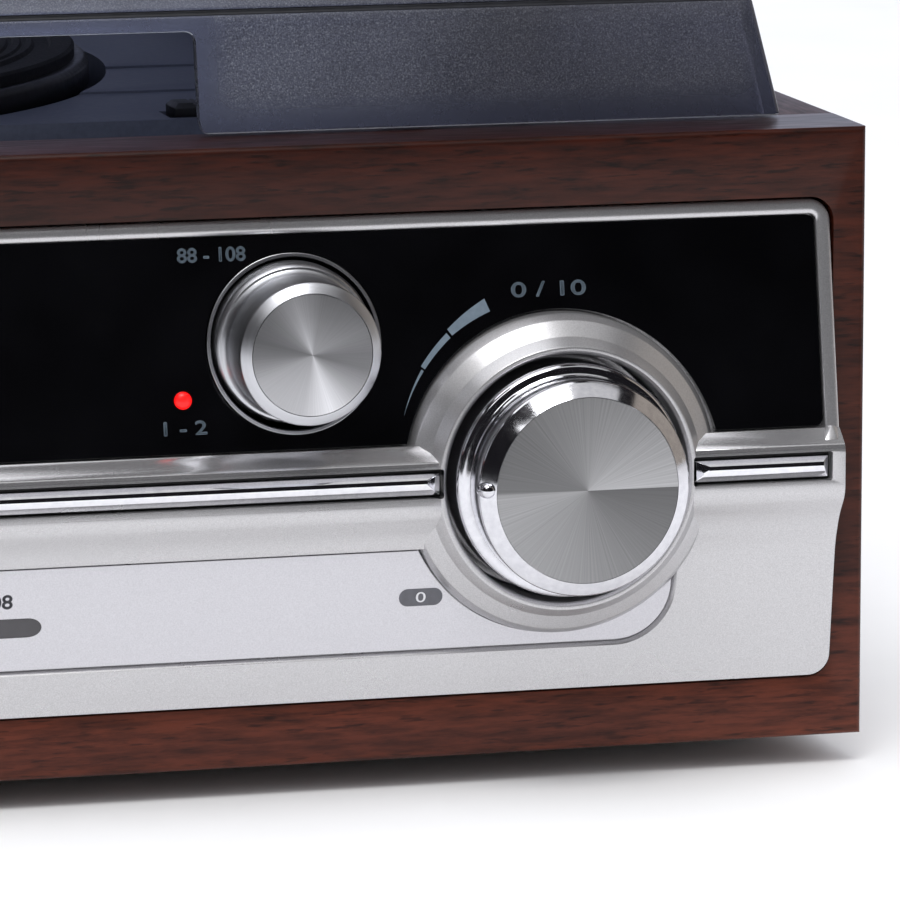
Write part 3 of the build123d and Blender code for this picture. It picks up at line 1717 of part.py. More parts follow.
def speaker_cone(side):
    inner = inner_half
    rim = speaker_hole_r - 2.3
    deep = inner - 0.5 * speaker_depth
    front = inner - 0.5
    outline = [
        (rim, front),
        (rim, front - cone_thick),
        (rim - 4, front - cone_thick - 0.5),
        (11, deep - cone_thick),
        (0, deep + 2),
        (0, deep + 2 + cone_thick),
        (10, deep + cone_thick),
        (rim - 4, front + 0.5 * cone_thick),
        (rim - 2, front + cone_thick),
    ]
    return turned_x(speaker_y, speaker_z, [(r, side * x) for r, x in outline])


def speaker_grille(side):
    outer = half_width
    inner = outer - grille_thick
    x0 = min(side * inner, side * outer)
    x1 = max(side * inner, side * outer)
    disc = rod_x(speaker_y, speaker_z, grille_r, x0, x1)
    holes = []
    rows = int(grille_field_r / (grille_pitch * 0.866)) + 1
    for row in range(-rows, rows + 1):
        z = row * grille_pitch * 0.866
        for column in range(-rows - 1, rows + 2):
            y = (column + 0.5 * (row % 2)) * grille_pitch
            if math.hypot(y, z) <= grille_field_r:
                holes.append(rod_x(speaker_y + y, speaker_z + z, grille_hole_r, x0 - 1, x1 + 1))
    return disc - holes


# Electronics and sockets
def main_board():
    """The amplifier board on four posts, with its tall capacitors, a heat sink and a chip."""
    x0 = main_board_left_x
    x1 = x0 + main_board_width
    y1 = back_inner_y - main_board_back_gap
    y0 = y1 - main_board_depth
    top = main_board_z + main_board_thick
    pieces = [block(x0, x1, y0, y1, main_board_z, top)]
    for x in (x0 + standoff_inset, x1 - standoff_inset):
        for y in (y0 + standoff_inset, y1 - standoff_inset):
            pieces.append(rod_z(x, y, standoff_r, bottom_board_thick, main_board_z))
    middle_x = (x0 + x1) / 2
    row_y = y0 + main_board_depth / 4
    pieces.append(rod_z(middle_x - 2 * capacitor_pitch, row_y, tall_capacitor[0], top, top + tall_capacitor[1]))
    for i in (-1, 0):
        pieces.append(rod_z(middle_x + i * capacitor_pitch, row_y, capacitor[0], top, top + capacitor[1]))
    for shift_x, shift_y, (long, wide, tall) in (
        (0, 2 * capacitor_pitch, heat_sink),
        (2 * capacitor_pitch, 0, chip),
    ):
        x = middle_x + shift_x
        y = row_y + shift_y
        pieces.append(block(x - long / 2, x + long / 2, y - wide / 2, y + wide / 2, top, top + tall))
    return pieces


def transformer():
    x0 = transformer_side_gap - inner_half
    x1 = x0 + transformer_width
    y1 = back_inner_y - transformer_back_gap
    y0 = y1 - transformer_depth
    foot = bottom_board_thick
    top = foot + transformer_height
    core = block(x0, x1, y0 + coil_end, y1 - coil_end, foot, top)
    coil = block(x0 + coil_side, x1 - coil_side, y0, y1, foot + coil_step, top - coil_step)
    coil = fillet(coil.edges().filter_by(Axis.Z), coil_round)
    edge = coil_end + 2 * strap_thick
    strap = block(x0 - strap_reach, x1 + strap_reach, y0 + edge, y1 - edge, foot, foot + strap_thick)
    return core + coil + strap


def jack_plate():
    x0, x1, z0, z1 = socket_plate_box()
    plate = block(x0, x1, cabinet_depth, cabinet_depth + socket_plate_thick, z0, z1)
    plate = fillet(plate.edges().filter_by(Axis.Y), 2)
    hx0, hx1, hz0, hz1 = socket_hole_box()
    gap = deck_gap
    plate += block(hx0 + gap, hx1 - gap, back_inner_y + 2, cabinet_depth + 0.5, hz0 + gap, hz1 - gap)
    for x in socket_x:
        plate -= rod_y(x, socket_z, socket_r + 0.03, back_inner_y, cabinet_depth + 3)
    plate -= rod_y(aux_x, socket_z, aux_r + 0.03, back_inner_y, cabinet_depth + 3)
    return plate


def rear_sockets():
    face = cabinet_depth + socket_plate_thick
    shapes = []
    for x in socket_x:
        outline = [
            (0, back_inner_y + 1),
            (socket_r, back_inner_y + 1),
            (socket_r, face),
            (socket_flange_r, face),
            (socket_flange_r, face + 1),
            (socket_r, face + 1),
            (socket_r, face + socket_length),
            (socket_bore_r, face + socket_length),
            (socket_bore_r, face - 2),
            (0, face - 2),
        ]
        shapes.append(turned_y(x, socket_z, outline))
    aux = [
        (0, back_inner_y + 1),
        (aux_r, back_inner_y + 1),
        (aux_r, face),
        (aux_r + 1, face),
        (aux_r + 1, face + 1.2),
        (aux_bore_r, face + 1.2),
        (aux_bore_r, face - 7),
        (0, face - 7),
    ]
    shapes.append(turned_y(aux_x, socket_z, aux))
    return shapes


def mains_inlet():
    half = inlet_half
    tall = inlet_height / 2
    face = cabinet_depth + inlet_flange_thick
    body = block(inlet_x - half, inlet_x + half, face - inlet_depth, face, inlet_z - tall, inlet_z + tall)
    body += block(
        inlet_x - half - inlet_flange,
        inlet_x + half + inlet_flange,
        cabinet_depth,
        face,
        inlet_z - tall - inlet_flange / 2,
        inlet_z + tall + inlet_flange / 2,
    )
    mouth = Pos(inlet_x, inlet_z) * SlotOverall(2 * inlet_mouth_half, inlet_mouth_height)
    body -= along_y(mouth, face - inlet_mouth_depth, face + 1)
    for s in (-1, 1):
        pin_x = inlet_x + s * inlet_pin_pitch / 2
        body += rod_y(pin_x, inlet_z, inlet_pin_r, face - inlet_mouth_depth - 1, face - 4)
    return body


os.makedirs("parts", exist_ok=True)

save("front_board", front_board())
save("left_side_board", side_board(-1))
save("right_side_board", side_board(1))
save("back_board", back_board())
save("bottom_board", bottom_board())
save("corner_blocks", *corner_blocks())
save("cabinet_screws", *cabinet_screws())
save("feet", *feet())

save("front_panel", front_panel())
save("display_window", display_window())
save("dial_plate", dial_plate())
save("chrome_strips", *chrome_strips())
save("panel_screws", *panel_screws())

for name, side in (("function", -1), ("volume", 1)):
    save(name + "_knob", large_knob(side * knob_x))
    save(name + "_insert", insert_disc(side * knob_x, knob_z, insert_r, knob_face_y, insert_thick))
    save(name + "_shaft", knob_shaft(side * knob_x))
save("function_switch", rotary_control(-knob_x))
save("volume_pot", rotary_control(knob_x))
save("radio_board", radio_board())

save("tuning_knob", tuning_knob())
save(
    "tuning_insert",
    insert_disc(tuning_x, tuning_z, tuning_insert_r, tuning_face_y, tuning_insert_thick),
)
save("tuning_ring", tuning_ring())
save("tuning_shaft", tuning_shaft())
save("tuning_drum", tuning_drum())
save("tuning_capacitor", tuning_capacitor())
save("dial_cord", dial_cord())
save("dial_frame", dial_frame())
save("dial_pointer", dial_pointer())
save("stereo_led", stereo_led())

save("deck", deck())
save("platter", platter())
save("platter_mat", platter_mat())
save("spindle", spindle())
save("spindle_bearing", spindle_bearing())
save("drive_belt", drive_belt())
save("drive_motor", drive_motor())
save("motor_pulley", motor_pulley())

save("tonearm_base", tonearm_base())
save("arm_yoke", arm_yoke())
save("arm_tube", arm_tube())
save("headshell", headshell())
save("cartridge", cartridge())
save("stylus", stylus())
save("arm_rest", arm_rest())
save("lift_bar", lift_bar())
save("cue_lever", cue_lever())
save("speed_selector", slider(speed_x, speed_y, speed_cap, step_z[0]))
save("adaptor_45", adaptor())

save("lid", lid())
save("hinge_bases", *hinge_bases())
save("hinge_arms", *hinge_arms())

speakers = [make(side) for side in (-1, 1) for make in (speaker_frame, speaker_cone)]
save("speakers", *speakers)
save("speaker_grilles", speaker_grille(-1), speaker_grille(1))

save("main_board", *main_board())
save("transformer", transformer())
save("jack_plate", jack_plate(), *rear_sockets())
save("mains_inlet", mains_inlet())
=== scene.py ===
# %% [markdown]
# # A record player with a radio behind a leaning silver panel
#
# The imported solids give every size, place and joint. This file gives the looks: the wood foil,
# the painted panel with its polished trims, the turned knobs, the smoky lid and the deck.
# Each step first says what the thing is on the real object and how it is made here.

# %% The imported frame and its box
import json
import math

import bmesh
import bpy
from mathutils import Matrix, Vector


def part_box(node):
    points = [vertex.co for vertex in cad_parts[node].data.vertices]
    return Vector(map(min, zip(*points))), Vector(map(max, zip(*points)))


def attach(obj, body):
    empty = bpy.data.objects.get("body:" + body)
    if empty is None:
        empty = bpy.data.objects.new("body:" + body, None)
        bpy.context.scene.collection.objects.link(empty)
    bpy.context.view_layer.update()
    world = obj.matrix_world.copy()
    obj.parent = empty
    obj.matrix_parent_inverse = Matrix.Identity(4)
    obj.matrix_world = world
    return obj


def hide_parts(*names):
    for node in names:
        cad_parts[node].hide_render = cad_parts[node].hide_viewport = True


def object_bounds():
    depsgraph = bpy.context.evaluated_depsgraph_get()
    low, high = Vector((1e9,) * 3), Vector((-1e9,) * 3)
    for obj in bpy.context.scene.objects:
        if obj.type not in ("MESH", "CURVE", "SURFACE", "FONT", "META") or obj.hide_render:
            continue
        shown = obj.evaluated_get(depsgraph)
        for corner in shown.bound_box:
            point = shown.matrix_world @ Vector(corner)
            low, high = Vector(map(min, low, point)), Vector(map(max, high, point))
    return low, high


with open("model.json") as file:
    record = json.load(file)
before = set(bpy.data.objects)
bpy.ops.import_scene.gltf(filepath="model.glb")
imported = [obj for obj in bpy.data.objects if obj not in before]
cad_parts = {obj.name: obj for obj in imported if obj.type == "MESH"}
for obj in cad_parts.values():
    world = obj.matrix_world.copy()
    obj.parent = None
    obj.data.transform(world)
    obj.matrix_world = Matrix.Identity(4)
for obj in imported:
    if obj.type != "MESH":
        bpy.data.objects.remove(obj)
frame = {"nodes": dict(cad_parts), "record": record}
cad_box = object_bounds()
nodes = frame["nodes"]
bodies = frame["record"]["behaviour"]["bodies"]
body_of_node = {node: body for body, group in bodies.items() for node in group}
print("packed box", [round(v, 4) for corner in cad_box for v in corner])

# %% [markdown]
# ## Where things are
#
# All places are given as on the drawing of the cabinet: X from its middle, Y back from the
# front board's face and Z up from the wood's lower edge, in millimetres.

# %% Places in metres
MM = 0.001
board_low, board_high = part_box("front_board")
drawing_origin = Vector(((board_low.x + board_high.x) / 2, board_low.y, board_low.z))


def at(x, y, z):
    """A place on the cabinet drawing, in metres of the shared frame."""
    return drawing_origin + Vector((x, y, z)) * MM


print("drawing origin", tuple(round(v, 4) for v in drawing_origin))

# %% [markdown]
# ## Finishes
#
# A finish starts from a plain shader. Every one then gets some drift of its own, because no
# real surface is one flat colour: moulded plastic has a fine texture, paint has flakes and
# rolled steel has streaks. The drift is read from the object's own coordinates, so it stays
# put when a piece moves.


# %% Small tools for finishes
def linear(code):
    """Scene colour of an sRGB hex code."""
    parts = [int(code[i : i + 2], 16) / 255 for i in (1, 3, 5)]
    return [v / 12.92 if v <= 0.04045 else ((v + 0.055) / 1.055) ** 2.4 for v in parts] + [1.0]


def first_output(value):
    """A node stands for its first output in use; anything else for itself."""
    if isinstance(value, bpy.types.Node):
        return next(output for output in value.outputs if output.enabled)
    return value


TIMES = {"operation": "MULTIPLY"}
BLEND = {"data_type": "RGBA", "blend_type": "MIX"}
DARKEN = {"data_type": "RGBA", "blend_type": "MULTIPLY"}


def add(tree, kind, inputs=None, stops=(), **settings):
    """One node with its settings and links. An input is a value, an output or a whole node,
    which stands for its first output in use. Stops are a colour ramp's places and sRGB hex codes."""
    node = tree.nodes.new(kind)
    for name, value in settings.items():
        setattr(node, name, value)
    for name, value in (inputs or {}).items():
        value = first_output(value)
        if isinstance(value, bpy.types.NodeSocket):
            tree.links.new(value, node.inputs[name])
        else:
            node.inputs[name].default_value = value
    for _ in stops[2:]:
        node.color_ramp.elements.new(0.5)
    for i, (place, code) in enumerate(stops):
        node.color_ramp.elements[i].position = place
        node.color_ramp.elements[i].color = linear(code)
    return node


def finish(name, colour, roughness=0.5, metallic=0.0, **sockets):
    """A shader with plain values; a socket's name is written with underscores."""
    made = bpy.data.materials.new(name)
    made.use_nodes = True
    shader = made.node_tree.nodes["Principled BSDF"]
    shader.inputs["Base Color"].default_value = linear(colour)
    shader.inputs["Roughness"].default_value = roughness
    shader.inputs["Metallic"].default_value = metallic
    for socket, value in sockets.items():
        shader.inputs[socket.replace("_", " ")].default_value = value
    return made


def grain(tree, scale, detail=4.0, roughness=0.55, distortion=0.0):
    """Noise in the object's own coordinates; scale is in bumps per metre along X, Y and Z."""
    own = add(tree, "ShaderNodeTexCoord").outputs["Object"]
    place = add(tree, "ShaderNodeMapping", {"Vector": own, "Scale": scale})
    inputs = {"Vector": place, "Scale": 1.0, "Detail": detail}
    inputs.update({"Roughness": roughness, "Distortion": distortion})
    return add(tree, "ShaderNodeTexNoise", inputs)


def drive(made, socket, value):
    """A shader's socket follows a node."""
    shader = made.node_tree.nodes["Principled BSDF"]
    made.node_tree.links.new(first_output(value), shader.inputs[socket])


def vary(made, value, stops, roughness=None, start=0.3, end=0.7):
    """Colour follows a value by a ramp's stops, and so does roughness from start to end."""
    tree = made.node_tree
    drive(made, "Base Color", add(tree, "ShaderNodeValToRGB", {"Fac": value}, stops))
    if roughness:
        inputs = {"Value": value, "From Min": start, "From Max": end}
        inputs.update({"To Min": roughness[0], "To Max": roughness[1]})
        drive(made, "Roughness", add(tree, "ShaderNodeMapRange", inputs))


def relief(made, height, depth_mm, strength=1.0):
    """Fine relief on the shader's normal, depth_mm deep from height 0 to 1."""
    inputs = {"Height": height, "Distance": depth_mm * MM, "Strength": strength}
    drive(made, "Normal", add(made.node_tree, "ShaderNodeBump", inputs))


def drifting(name, low, high, scale, roughness=(0.4, 0.55), metallic=0.0, depth=0.0, **sockets):
    """A finish whose colour, gloss and relief drift together with noise."""
    made = finish(name, low, roughness[0], metallic, **sockets)
    value = grain(made.node_tree, scale if isinstance(scale, tuple) else (scale, scale, scale))
    vary(made, value, ((0.3, low), (0.7, high)), roughness)
    if depth:
        relief(made, value, depth)
    return made


print("tools for finishes are ready")

# %% [markdown]
# ## Shapes
#
# Turned pieces are spun from an outline, flat ones are cut from an outline, and pieces whose
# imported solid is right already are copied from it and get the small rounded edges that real
# edges have. Nothing real has a razor edge: the light line on a rounded one tells its size.


# %% Small tools for shapes
THROUGH = 20


def make(name, shape, material, smooth=35.0):
    """An object from a finished bmesh, smooth but for edges sharper than the angle."""
    bmesh.ops.recalc_face_normals(shape, faces=shape.faces)
    mesh = bpy.data.meshes.new(name)
    shape.to_mesh(mesh)
    shape.free()
    mesh.materials.append(material)
    thing = bpy.data.objects.new(name, mesh)
    bpy.context.scene.collection.objects.link(thing)
    smooth_but_for(mesh, smooth)
    return thing


def smooth_but_for(mesh, angle):
    mesh.polygons.foreach_set("use_smooth", [True] * len(mesh.polygons))
    mesh.set_sharp_from_angle(angle=math.radians(angle))
    mesh.update()


def settle(thing, smooth=None):
    """The object with its modifiers worked into its mesh."""
    bpy.context.view_layer.update()
    seen = thing.evaluated_get(bpy.context.evaluated_depsgraph_get())
    mesh = bpy.data.meshes.new_from_object(seen)
    thing.modifiers.clear()
    old, thing.data = thing.data, mesh
    bpy.data.meshes.remove(old)
    mesh.name = thing.name
    if smooth:
        smooth_but_for(mesh, smooth)
    return thing


def round_edges(thing, width, angle=40.0, steps=3, smooth=None):
    """Small rounded edges, width in millimetres, where faces meet sharper than the angle."""
    edge = thing.modifiers.new("edge", "BEVEL")
    edge.width = width * MM
    edge.segments = steps
    edge.limit_method = "ANGLE"
    edge.angle_limit = math.radians(angle)
    edge.use_clamp_overlap = True
    edge.harden_normals = smooth is None
    return settle(thing, smooth)


def cut(thing, *tools, kind="DIFFERENCE"):
    """The object less (or with) the tools, which are used up."""
    for tool in tools:
        step = thing.modifiers.new("cut", "BOOLEAN")
        step.operation = kind
        step.solver = "EXACT"
        step.object = tool
        settle(thing)
        bpy.data.objects.remove(tool)
    return thing


def place(thing, body, slot, *replaced):
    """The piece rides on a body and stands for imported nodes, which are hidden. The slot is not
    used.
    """
    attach(thing, body)
    if replaced:
        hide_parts(*replaced)
    return thing


def dress(node, material, slot, edge=0.0, angle=40.0, steps=2, smooth=35.0):
    """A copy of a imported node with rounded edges, in the node's place."""
    shape = bmesh.new()
    shape.from_mesh(nodes[node].data)
    bmesh.ops.remove_doubles(shape, verts=shape.verts, dist=2e-6)
    flat = math.radians(0.6)
    bmesh.ops.dissolve_limit(shape, angle_limit=flat, verts=shape.verts, edges=shape.edges)
    thing = make(node + "_dressed", shape, material, smooth)
    if edge:
        round_edges(thing, edge, angle, steps, smooth)
    return place(thing, body_of_node[node], slot, node)


def carry(material, *names):
    """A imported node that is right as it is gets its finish."""
    for name in names:
        for holder in nodes[name].material_slots:
            holder.material = material


def soften(points, radius, steps=5, closed=False):
    """The line of points with its corners rounded; radius is a number or one for each point."""
    count = len(points)
    radii = radius if isinstance(radius, (list, tuple)) else [radius] * count
    line = []
    for i, (x, y) in enumerate(points):
        if not closed and i in (0, count - 1) or radii[i] == 0:
            line.append((x, y))
            continue
        before, after = points[i - 1], points[(i + 1) % count]
        ends = []
        for px, py in (before, after):
            reach = math.hypot(px - x, py - y)
            share = min(radii[i], 0.48 * reach) / reach
            ends.append((x + (px - x) * share, y + (py - y) * share))
        for k in range(steps + 1):
            t = k / steps
            line.append(
                tuple(
                    (1 - t) ** 2 * a + 2 * t * (1 - t) * b + t**2 * c
                    for a, b, c in zip(ends[0], (x, y), ends[1])
                )
            )
    return line


def ring_points(x, z, radius, steps=96, start=0.0, sweep=360.0):
    count = steps if sweep == 360.0 else steps + 1
    angles = [math.radians(start + sweep * i / steps) for i in range(count)]
    return [(x + radius * math.cos(a), z + radius * math.sin(a)) for a in angles]


def box_points(x0, x1, z0, z1, radius=0.0, steps=8):
    """A rectangle, its corners rounded by arcs."""
    if not radius:
        return [(x0, z0), (x1, z0), (x1, z1), (x0, z1)]
    corners = ((x1, z0, -90), (x1, z1, 0), (x0, z1, 90), (x0, z0, 180))
    line = []
    for x, z, start in corners:
        cx = x + (radius if x == x0 else -radius)
        cz = z + (radius if z == z0 else -radius)
        line += ring_points(cx, cz, radius, steps, start, 90.0)
    return line


def prism(name, outline, front, back, material=None, smooth=35.0):
    """A plate with an outline in X and Z; front and back are places along Y or follow z."""
    shape = bmesh.new()
    rings = []
    for face in (front, back):
        depth = face if callable(face) else lambda z, y=face: y
        rings.append([shape.verts.new(at(x, depth(z), z)) for x, z in outline])
    join_rings(shape, rings, closed_ends=True)
    return make(name, shape, material or plain_tool, smooth)


def prism_x(name, outline, left, right, material=None, smooth=35.0):
    """A plate with an outline in Y and Z between two places along X."""
    shape = bmesh.new()
    rings = [[shape.verts.new(at(x, y, z)) for y, z in outline] for x in (left, right)]
    join_rings(shape, rings, closed_ends=True)
    return make(name, shape, material or plain_tool, smooth)


def hole(outline, front=-THROUGH, back=THROUGH):
    """A cutting plate, right through the front unless its depth is given."""
    return prism("hole", outline, front, back)


def join_rings(shape, rings, closed_ends=False, loop=False):
    """Skin over rings of the same number of points."""
    pairs = list(zip(rings, rings[1:]))
    if loop:
        pairs.append((rings[-1], rings[0]))
    for a, b in pairs:
        for i in range(len(a)):
            j = (i + 1) % len(a)
            shape.faces.new((a[i], a[j], b[j], b[i]))
    if closed_ends:
        shape.faces.new(rings[0])
        shape.faces.new(rings[-1])


def lathe(name, centre, outline, material, axis="y", steps=160, loop=False, smooth=35.0):
    """A turned piece: outline is (radius, place along the axis), centre the other two places.
    Its map runs once round for u and along the outline for v."""
    shape = bmesh.new()
    layer = shape.loops.layers.uv.new("turned")

    def spot(radius, along, i):
        angle = 2 * math.pi * i / steps
        a, b = centre[0] + radius * math.cos(angle), centre[1] + radius * math.sin(angle)
        return at(a, along, b) if axis == "y" else at(a, b, along)

    rings = []
    for radius, along in outline:
        if radius == 0:
            rings.append([shape.verts.new(spot(0, along, 0))])
        else:
            rings.append([shape.verts.new(spot(radius, along, i)) for i in range(steps)])
    pairs = [(k, k + 1) for k in range(len(rings) - 1)] + ([(len(rings) - 1, 0)] if loop else [])
    for k, m in pairs:
        a, b = rings[k], rings[m]
        for i in range(steps):
            j = (i + 1) % steps
            u, v, w = i / steps, (i + 1) / steps, (i + 0.5) / steps
            ka, kb = k / len(rings), (k + 1) / len(rings)
            if len(a) == 1:
                corners = ((a[0], w, ka), (b[j], v, kb), (b[i], u, kb))
            elif len(b) == 1:
                corners = ((a[i], u, ka), (a[j], v, ka), (b[0], w, kb))
            else:
                corners = ((a[i], u, ka), (a[j], v, ka), (b[j], v, kb), (b[i], u, kb))
            face = shape.faces.new([c[0] for c in corners])
            for corner, (_, s, t) in zip(face.loops, corners):
                corner[layer].uv = (s, t)
    return make(name, shape, material, smooth)


plain_tool = finish("plain_tool", "#808080")
print("tools for shapes are ready")

# %% [markdown]
# ## Wood foil
#
# The cabinet is fibreboard wrapped in a printed foil: dark reddish brown with long fine grain
# that runs along each board, short dark pores and a satin gloss that picks up the light on
# the top edges. The front board's grain runs along X and the side boards' along Y.


# %% Wood foil, back board and hidden wood
# Painted light: the foil is full at the foot of the boards and a little deeper towards the top, so
# the lower rail looks lit by the pale floor.
PAINTED_FLOOR_LIGHT = ((0.0, "#ffffff"), (0.2, "#f4f6f6"), (0.55, "#bebab8"), (1.0, "#ada6a4"))


def wood_foil(name, along):
    """Printed wood foil under a satin lacquer, its grain along one axis: long bands of tone,
    fibres of a millimetre or less and short dark pores."""
    gloss = {"Specular_IOR_Level": 0.15, "Coat_Weight": 0.2, "Coat_Roughness": 0.28}
    made = finish(name, "#43261e", 0.36, 0.0, **gloss)
    tree = made.node_tree

    def stretched(long, across):
        return tuple(long if axis == along else across for axis in "xyz")

    bands = grain(tree, stretched(5.0, 70.0), 3.0, 0.5, 0.4)
    fibres = grain(tree, stretched(110.0, 950.0), 5.0, 0.65, 0.15)
    pores = grain(tree, stretched(210.0, 1500.0), 2.0, 0.5, 0.1)
    own = add(tree, "ShaderNodeTexCoord").outputs["Object"]
    place = add(tree, "ShaderNodeMapping", {"Vector": own})
    height = add(tree, "ShaderNodeSeparateXYZ", {"Vector": place}).outputs["Z"]
    height = add(tree, "ShaderNodeMath", {0: height, 1: 10.0}, **TIMES)
    # Painted light from the floor: the tone is lightened towards the boards' foot.
    foot = add(tree, "ShaderNodeValToRGB", {"Fac": height}, PAINTED_FLOOR_LIGHT)
    stops = ((0.3, "#471d11"), (0.5, "#582718"), (0.72, "#6b3422"))
    tone = add(tree, "ShaderNodeValToRGB", {"Fac": bands}, stops)
    tone = add(tree, "ShaderNodeMix", {0: 1.0, 6: tone, 7: foot}, **DARKEN)
    stops = ((0.32, "#8c8c8c"), (0.48, "#d4d4d4"), (0.62, "#ffffff"))
    shade = add(tree, "ShaderNodeValToRGB", {"Fac": fibres}, stops)
    tone = add(tree, "ShaderNodeMix", {0: 0.85, 6: tone, 7: shade}, **DARKEN)
    dots = add(tree, "ShaderNodeValToRGB", {"Fac": pores}, ((0.3, "#8c8c8c"), (0.42, "#ffffff")))
    drive(made, "Base Color", add(tree, "ShaderNodeMix", {0: 0.8, 6: tone, 7: dots}, **DARKEN))
    spread = {"Value": fibres, "From Min": 0.3, "From Max": 0.7, "To Min": 0.46, "To Max": 0.3}
    drive(made, "Roughness", add(tree, "ShaderNodeMapRange", spread))
    relief(made, pores, 0.06, 0.5)
    return made


foil_x = wood_foil("wood_foil_along_x", "x")
foil_y = wood_foil("wood_foil_along_y", "y")
# Bare fibreboard stained black: matt, faintly mottled.
fibreboard = drifting("fibreboard", "#1c1916", "#2b2621", (260, 260, 260), (0.7, 0.85), depth=0.05)
# Planed pine: pale, with straight streaks along Z.
pine = drifting("pine", "#b08b5c", "#cfae7e", (400, 400, 22), (0.6, 0.75), depth=0.05)

dress("front_board", foil_x, "wood_veneer", 0.35, 25, 3)
for name in ("left_side_board", "right_side_board"):
    dress(name, foil_y, "wood_veneer", 0.35, 25, 3)
dress("back_board", fibreboard, "back_fibreboard", 0.3)
carry(fibreboard, "bottom_board")
carry(pine, "corner_blocks")
print("boards dressed")

# %% [markdown]
# ## The line of the panel
#
# The silver panel is one moulding. From the side its face leans back behind the window, juts
# out at the ridge that carries the bright strips, sweeps in below it in a hollow and ends in
# a nearly flat lower face. The bead that frames the window stands a little proud of it.

# %% The line of the panel's face
PANEL_HALF, PANEL_FOOT, PANEL_TOP = 166.0, 10.4, 88.4
BEAD, PROUD = 2.4, 0.6
WINDOW_TOP_Y, WINDOW_LEAN = 0.75, 6.55
LOWER_TOP, LOWER_FOOT_Y, LOWER_LEAN = 29.0, -0.8, 2.5
WINDOW_FOOT, WINDOW_TOP = 52.3, 86.0
KNOB_X, KNOB_Z = 119.6, 46.2
TUNING_X, TUNING_Z = 76.2, 68.85
TUNING_KNOB = (76.05, 68.95)
crest_line = soften(
    [
        (1.35, 88.4),
        (-5.2, 52.3),
        (-8.45, 49.75),
        (-8.72, 49.1),
        (-8.85, 48.6),
        (-8.88, 42.3),
        (-8.3, 40.8),
        (-5.8, 37.5),
        (-3.95, 33.0),
        (-3.3, 29.0),
        (-0.8, 10.4),
    ],
    [0, 0.3, 0.35, 0.25, 0.2, 0.9, 0.6, 1.6, 1.6, 2.6, 0],
    6,
)


def crest_y(z):
    """Where the face lies at a height."""
    for (y0, z0), (y1, z1) in zip(crest_line, crest_line[1:]):
        if z1 <= z <= z0:
            return y0 + (y1 - y0) * (z - z0) / (z1 - z0)
    return crest_line[0][0] if z > PANEL_TOP else crest_line[-1][0]


def window_y(z):
    """The window's leaning face."""
    return WINDOW_TOP_Y - WINDOW_LEAN * (PANEL_TOP - z) / (PANEL_TOP - WINDOW_FOOT) + PROUD


def lower_y(z):
    """The nearly flat face that carries the dial plate."""
    return LOWER_FOOT_Y - LOWER_LEAN * (z - PANEL_FOOT) / (LOWER_TOP - PANEL_FOOT)


print("panel line has", len(crest_line), "points")

# %% [markdown]
# ## Silver panel
#
# Sprayed silver over plastic: bright, faintly cool, satin, with a fine flake that shows close
# up. The field is one extruded body with its pocket, slots and holes cut out of it; the bead
# and the two round bezels are bodies of their own that sink into it.


# %% Silver paint and the panel's field
def silver_paint(name, smooth, dull):
    """Sprayed silver with a fine flake and a sheen that drifts between two roughnesses."""
    made = finish(name, "#c9c8cc", dull, 0.82, Specular_IOR_Level=0.5)
    tree = made.node_tree
    flake = grain(tree, (5200, 5200, 5200), 2.0)
    cloud = grain(tree, (30, 30, 30), 3.0)
    vary(made, flake, ((0.35, "#bab9bb"), (0.65, "#cac9cb")))
    spread = {"Value": cloud, "From Min": 0.3, "From Max": 0.7, "To Min": smooth, "To Max": dull}
    drive(made, "Roughness", add(tree, "ShaderNodeMapRange", spread))
    relief(made, flake, 0.012, 0.5)
    return made


silver = silver_paint("silver_paint", 0.26, 0.31)
# The ledge faces up and was sprayed wettest, so it is smoother and mirrors the dark room.
silver_ledge = silver_paint("silver_ledge", 0.15, 0.18)
# Painted shade: a near-black sheet at the bottom of each slot, so that the slot reads as a dark
# line.
painted_slot_shade = drifting("slot_lining_black", "#060607", "#0c0c0e", 900, (0.5, 0.6))
RIM_BACK, SHELF, SKIN, CORNER = 11.9, 1.75, 3.0, 3.5
frame_half, frame_top = PANEL_HALF - BEAD, PANEL_TOP - BEAD
ledge_top = WINDOW_FOOT - 0.3
section = [
    (window_y(frame_top) + SHELF, frame_top),
    (window_y(WINDOW_FOOT) + SHELF, ledge_top),
    (crest_y(ledge_top), ledge_top),
    *[(y, z) for y, z in crest_line if z < ledge_top - 0.02],
    (RIM_BACK, PANEL_FOOT),
    (RIM_BACK, PANEL_FOOT + SKIN),
    (lower_y(PANEL_FOOT) + SKIN, PANEL_FOOT + SKIN),
    (-1.0, 34.0),
    (-4.6, 42.0),
    (-4.6, 48.0),
    (window_y(WINDOW_FOOT) + SKIN + 1, WINDOW_FOOT),
    (window_y(frame_top) + SKIN + 1, frame_top),
]
field = prism_x("panel_field", section, -PANEL_HALF, PANEL_HALF, silver, 30)
corners = box_points(-PANEL_HALF, PANEL_HALF, PANEL_FOOT, frame_top + 5, CORNER, 12)
cut(field, hole(corners), kind="INTERSECT")
for side in (-1, 1):
    inner, outer = side * (frame_half + 0.2), side * (PANEL_HALF + 2)
    cut(field, hole(box_points(inner, outer, WINDOW_FOOT - 0.1, frame_top + 9)))
round_edges(field, 0.7, 50, 4)

PLATE_HALF, PLATE_FOOT, PLATE_TOP, PLATE_CORNER, PLATE_THICK = 138.4, 18.3, 34.8, 9.0, 1.0


def plate_line(grow=0.0, foot_grow=0.0):
    """The dial plate's outline: round lower corners, and upper ones that end at the bezels."""
    half, foot, radius = PLATE_HALF + grow, PLATE_FOOT - foot_grow, PLATE_CORNER + grow
    line = [(half, PLATE_TOP + grow), (-half, PLATE_TOP + grow)]
    line += ring_points(radius - half, foot + radius, radius, 16, 180.0, 90.0)
    return line + ring_points(half - radius, foot + radius, radius, 16, 270.0, 90.0)


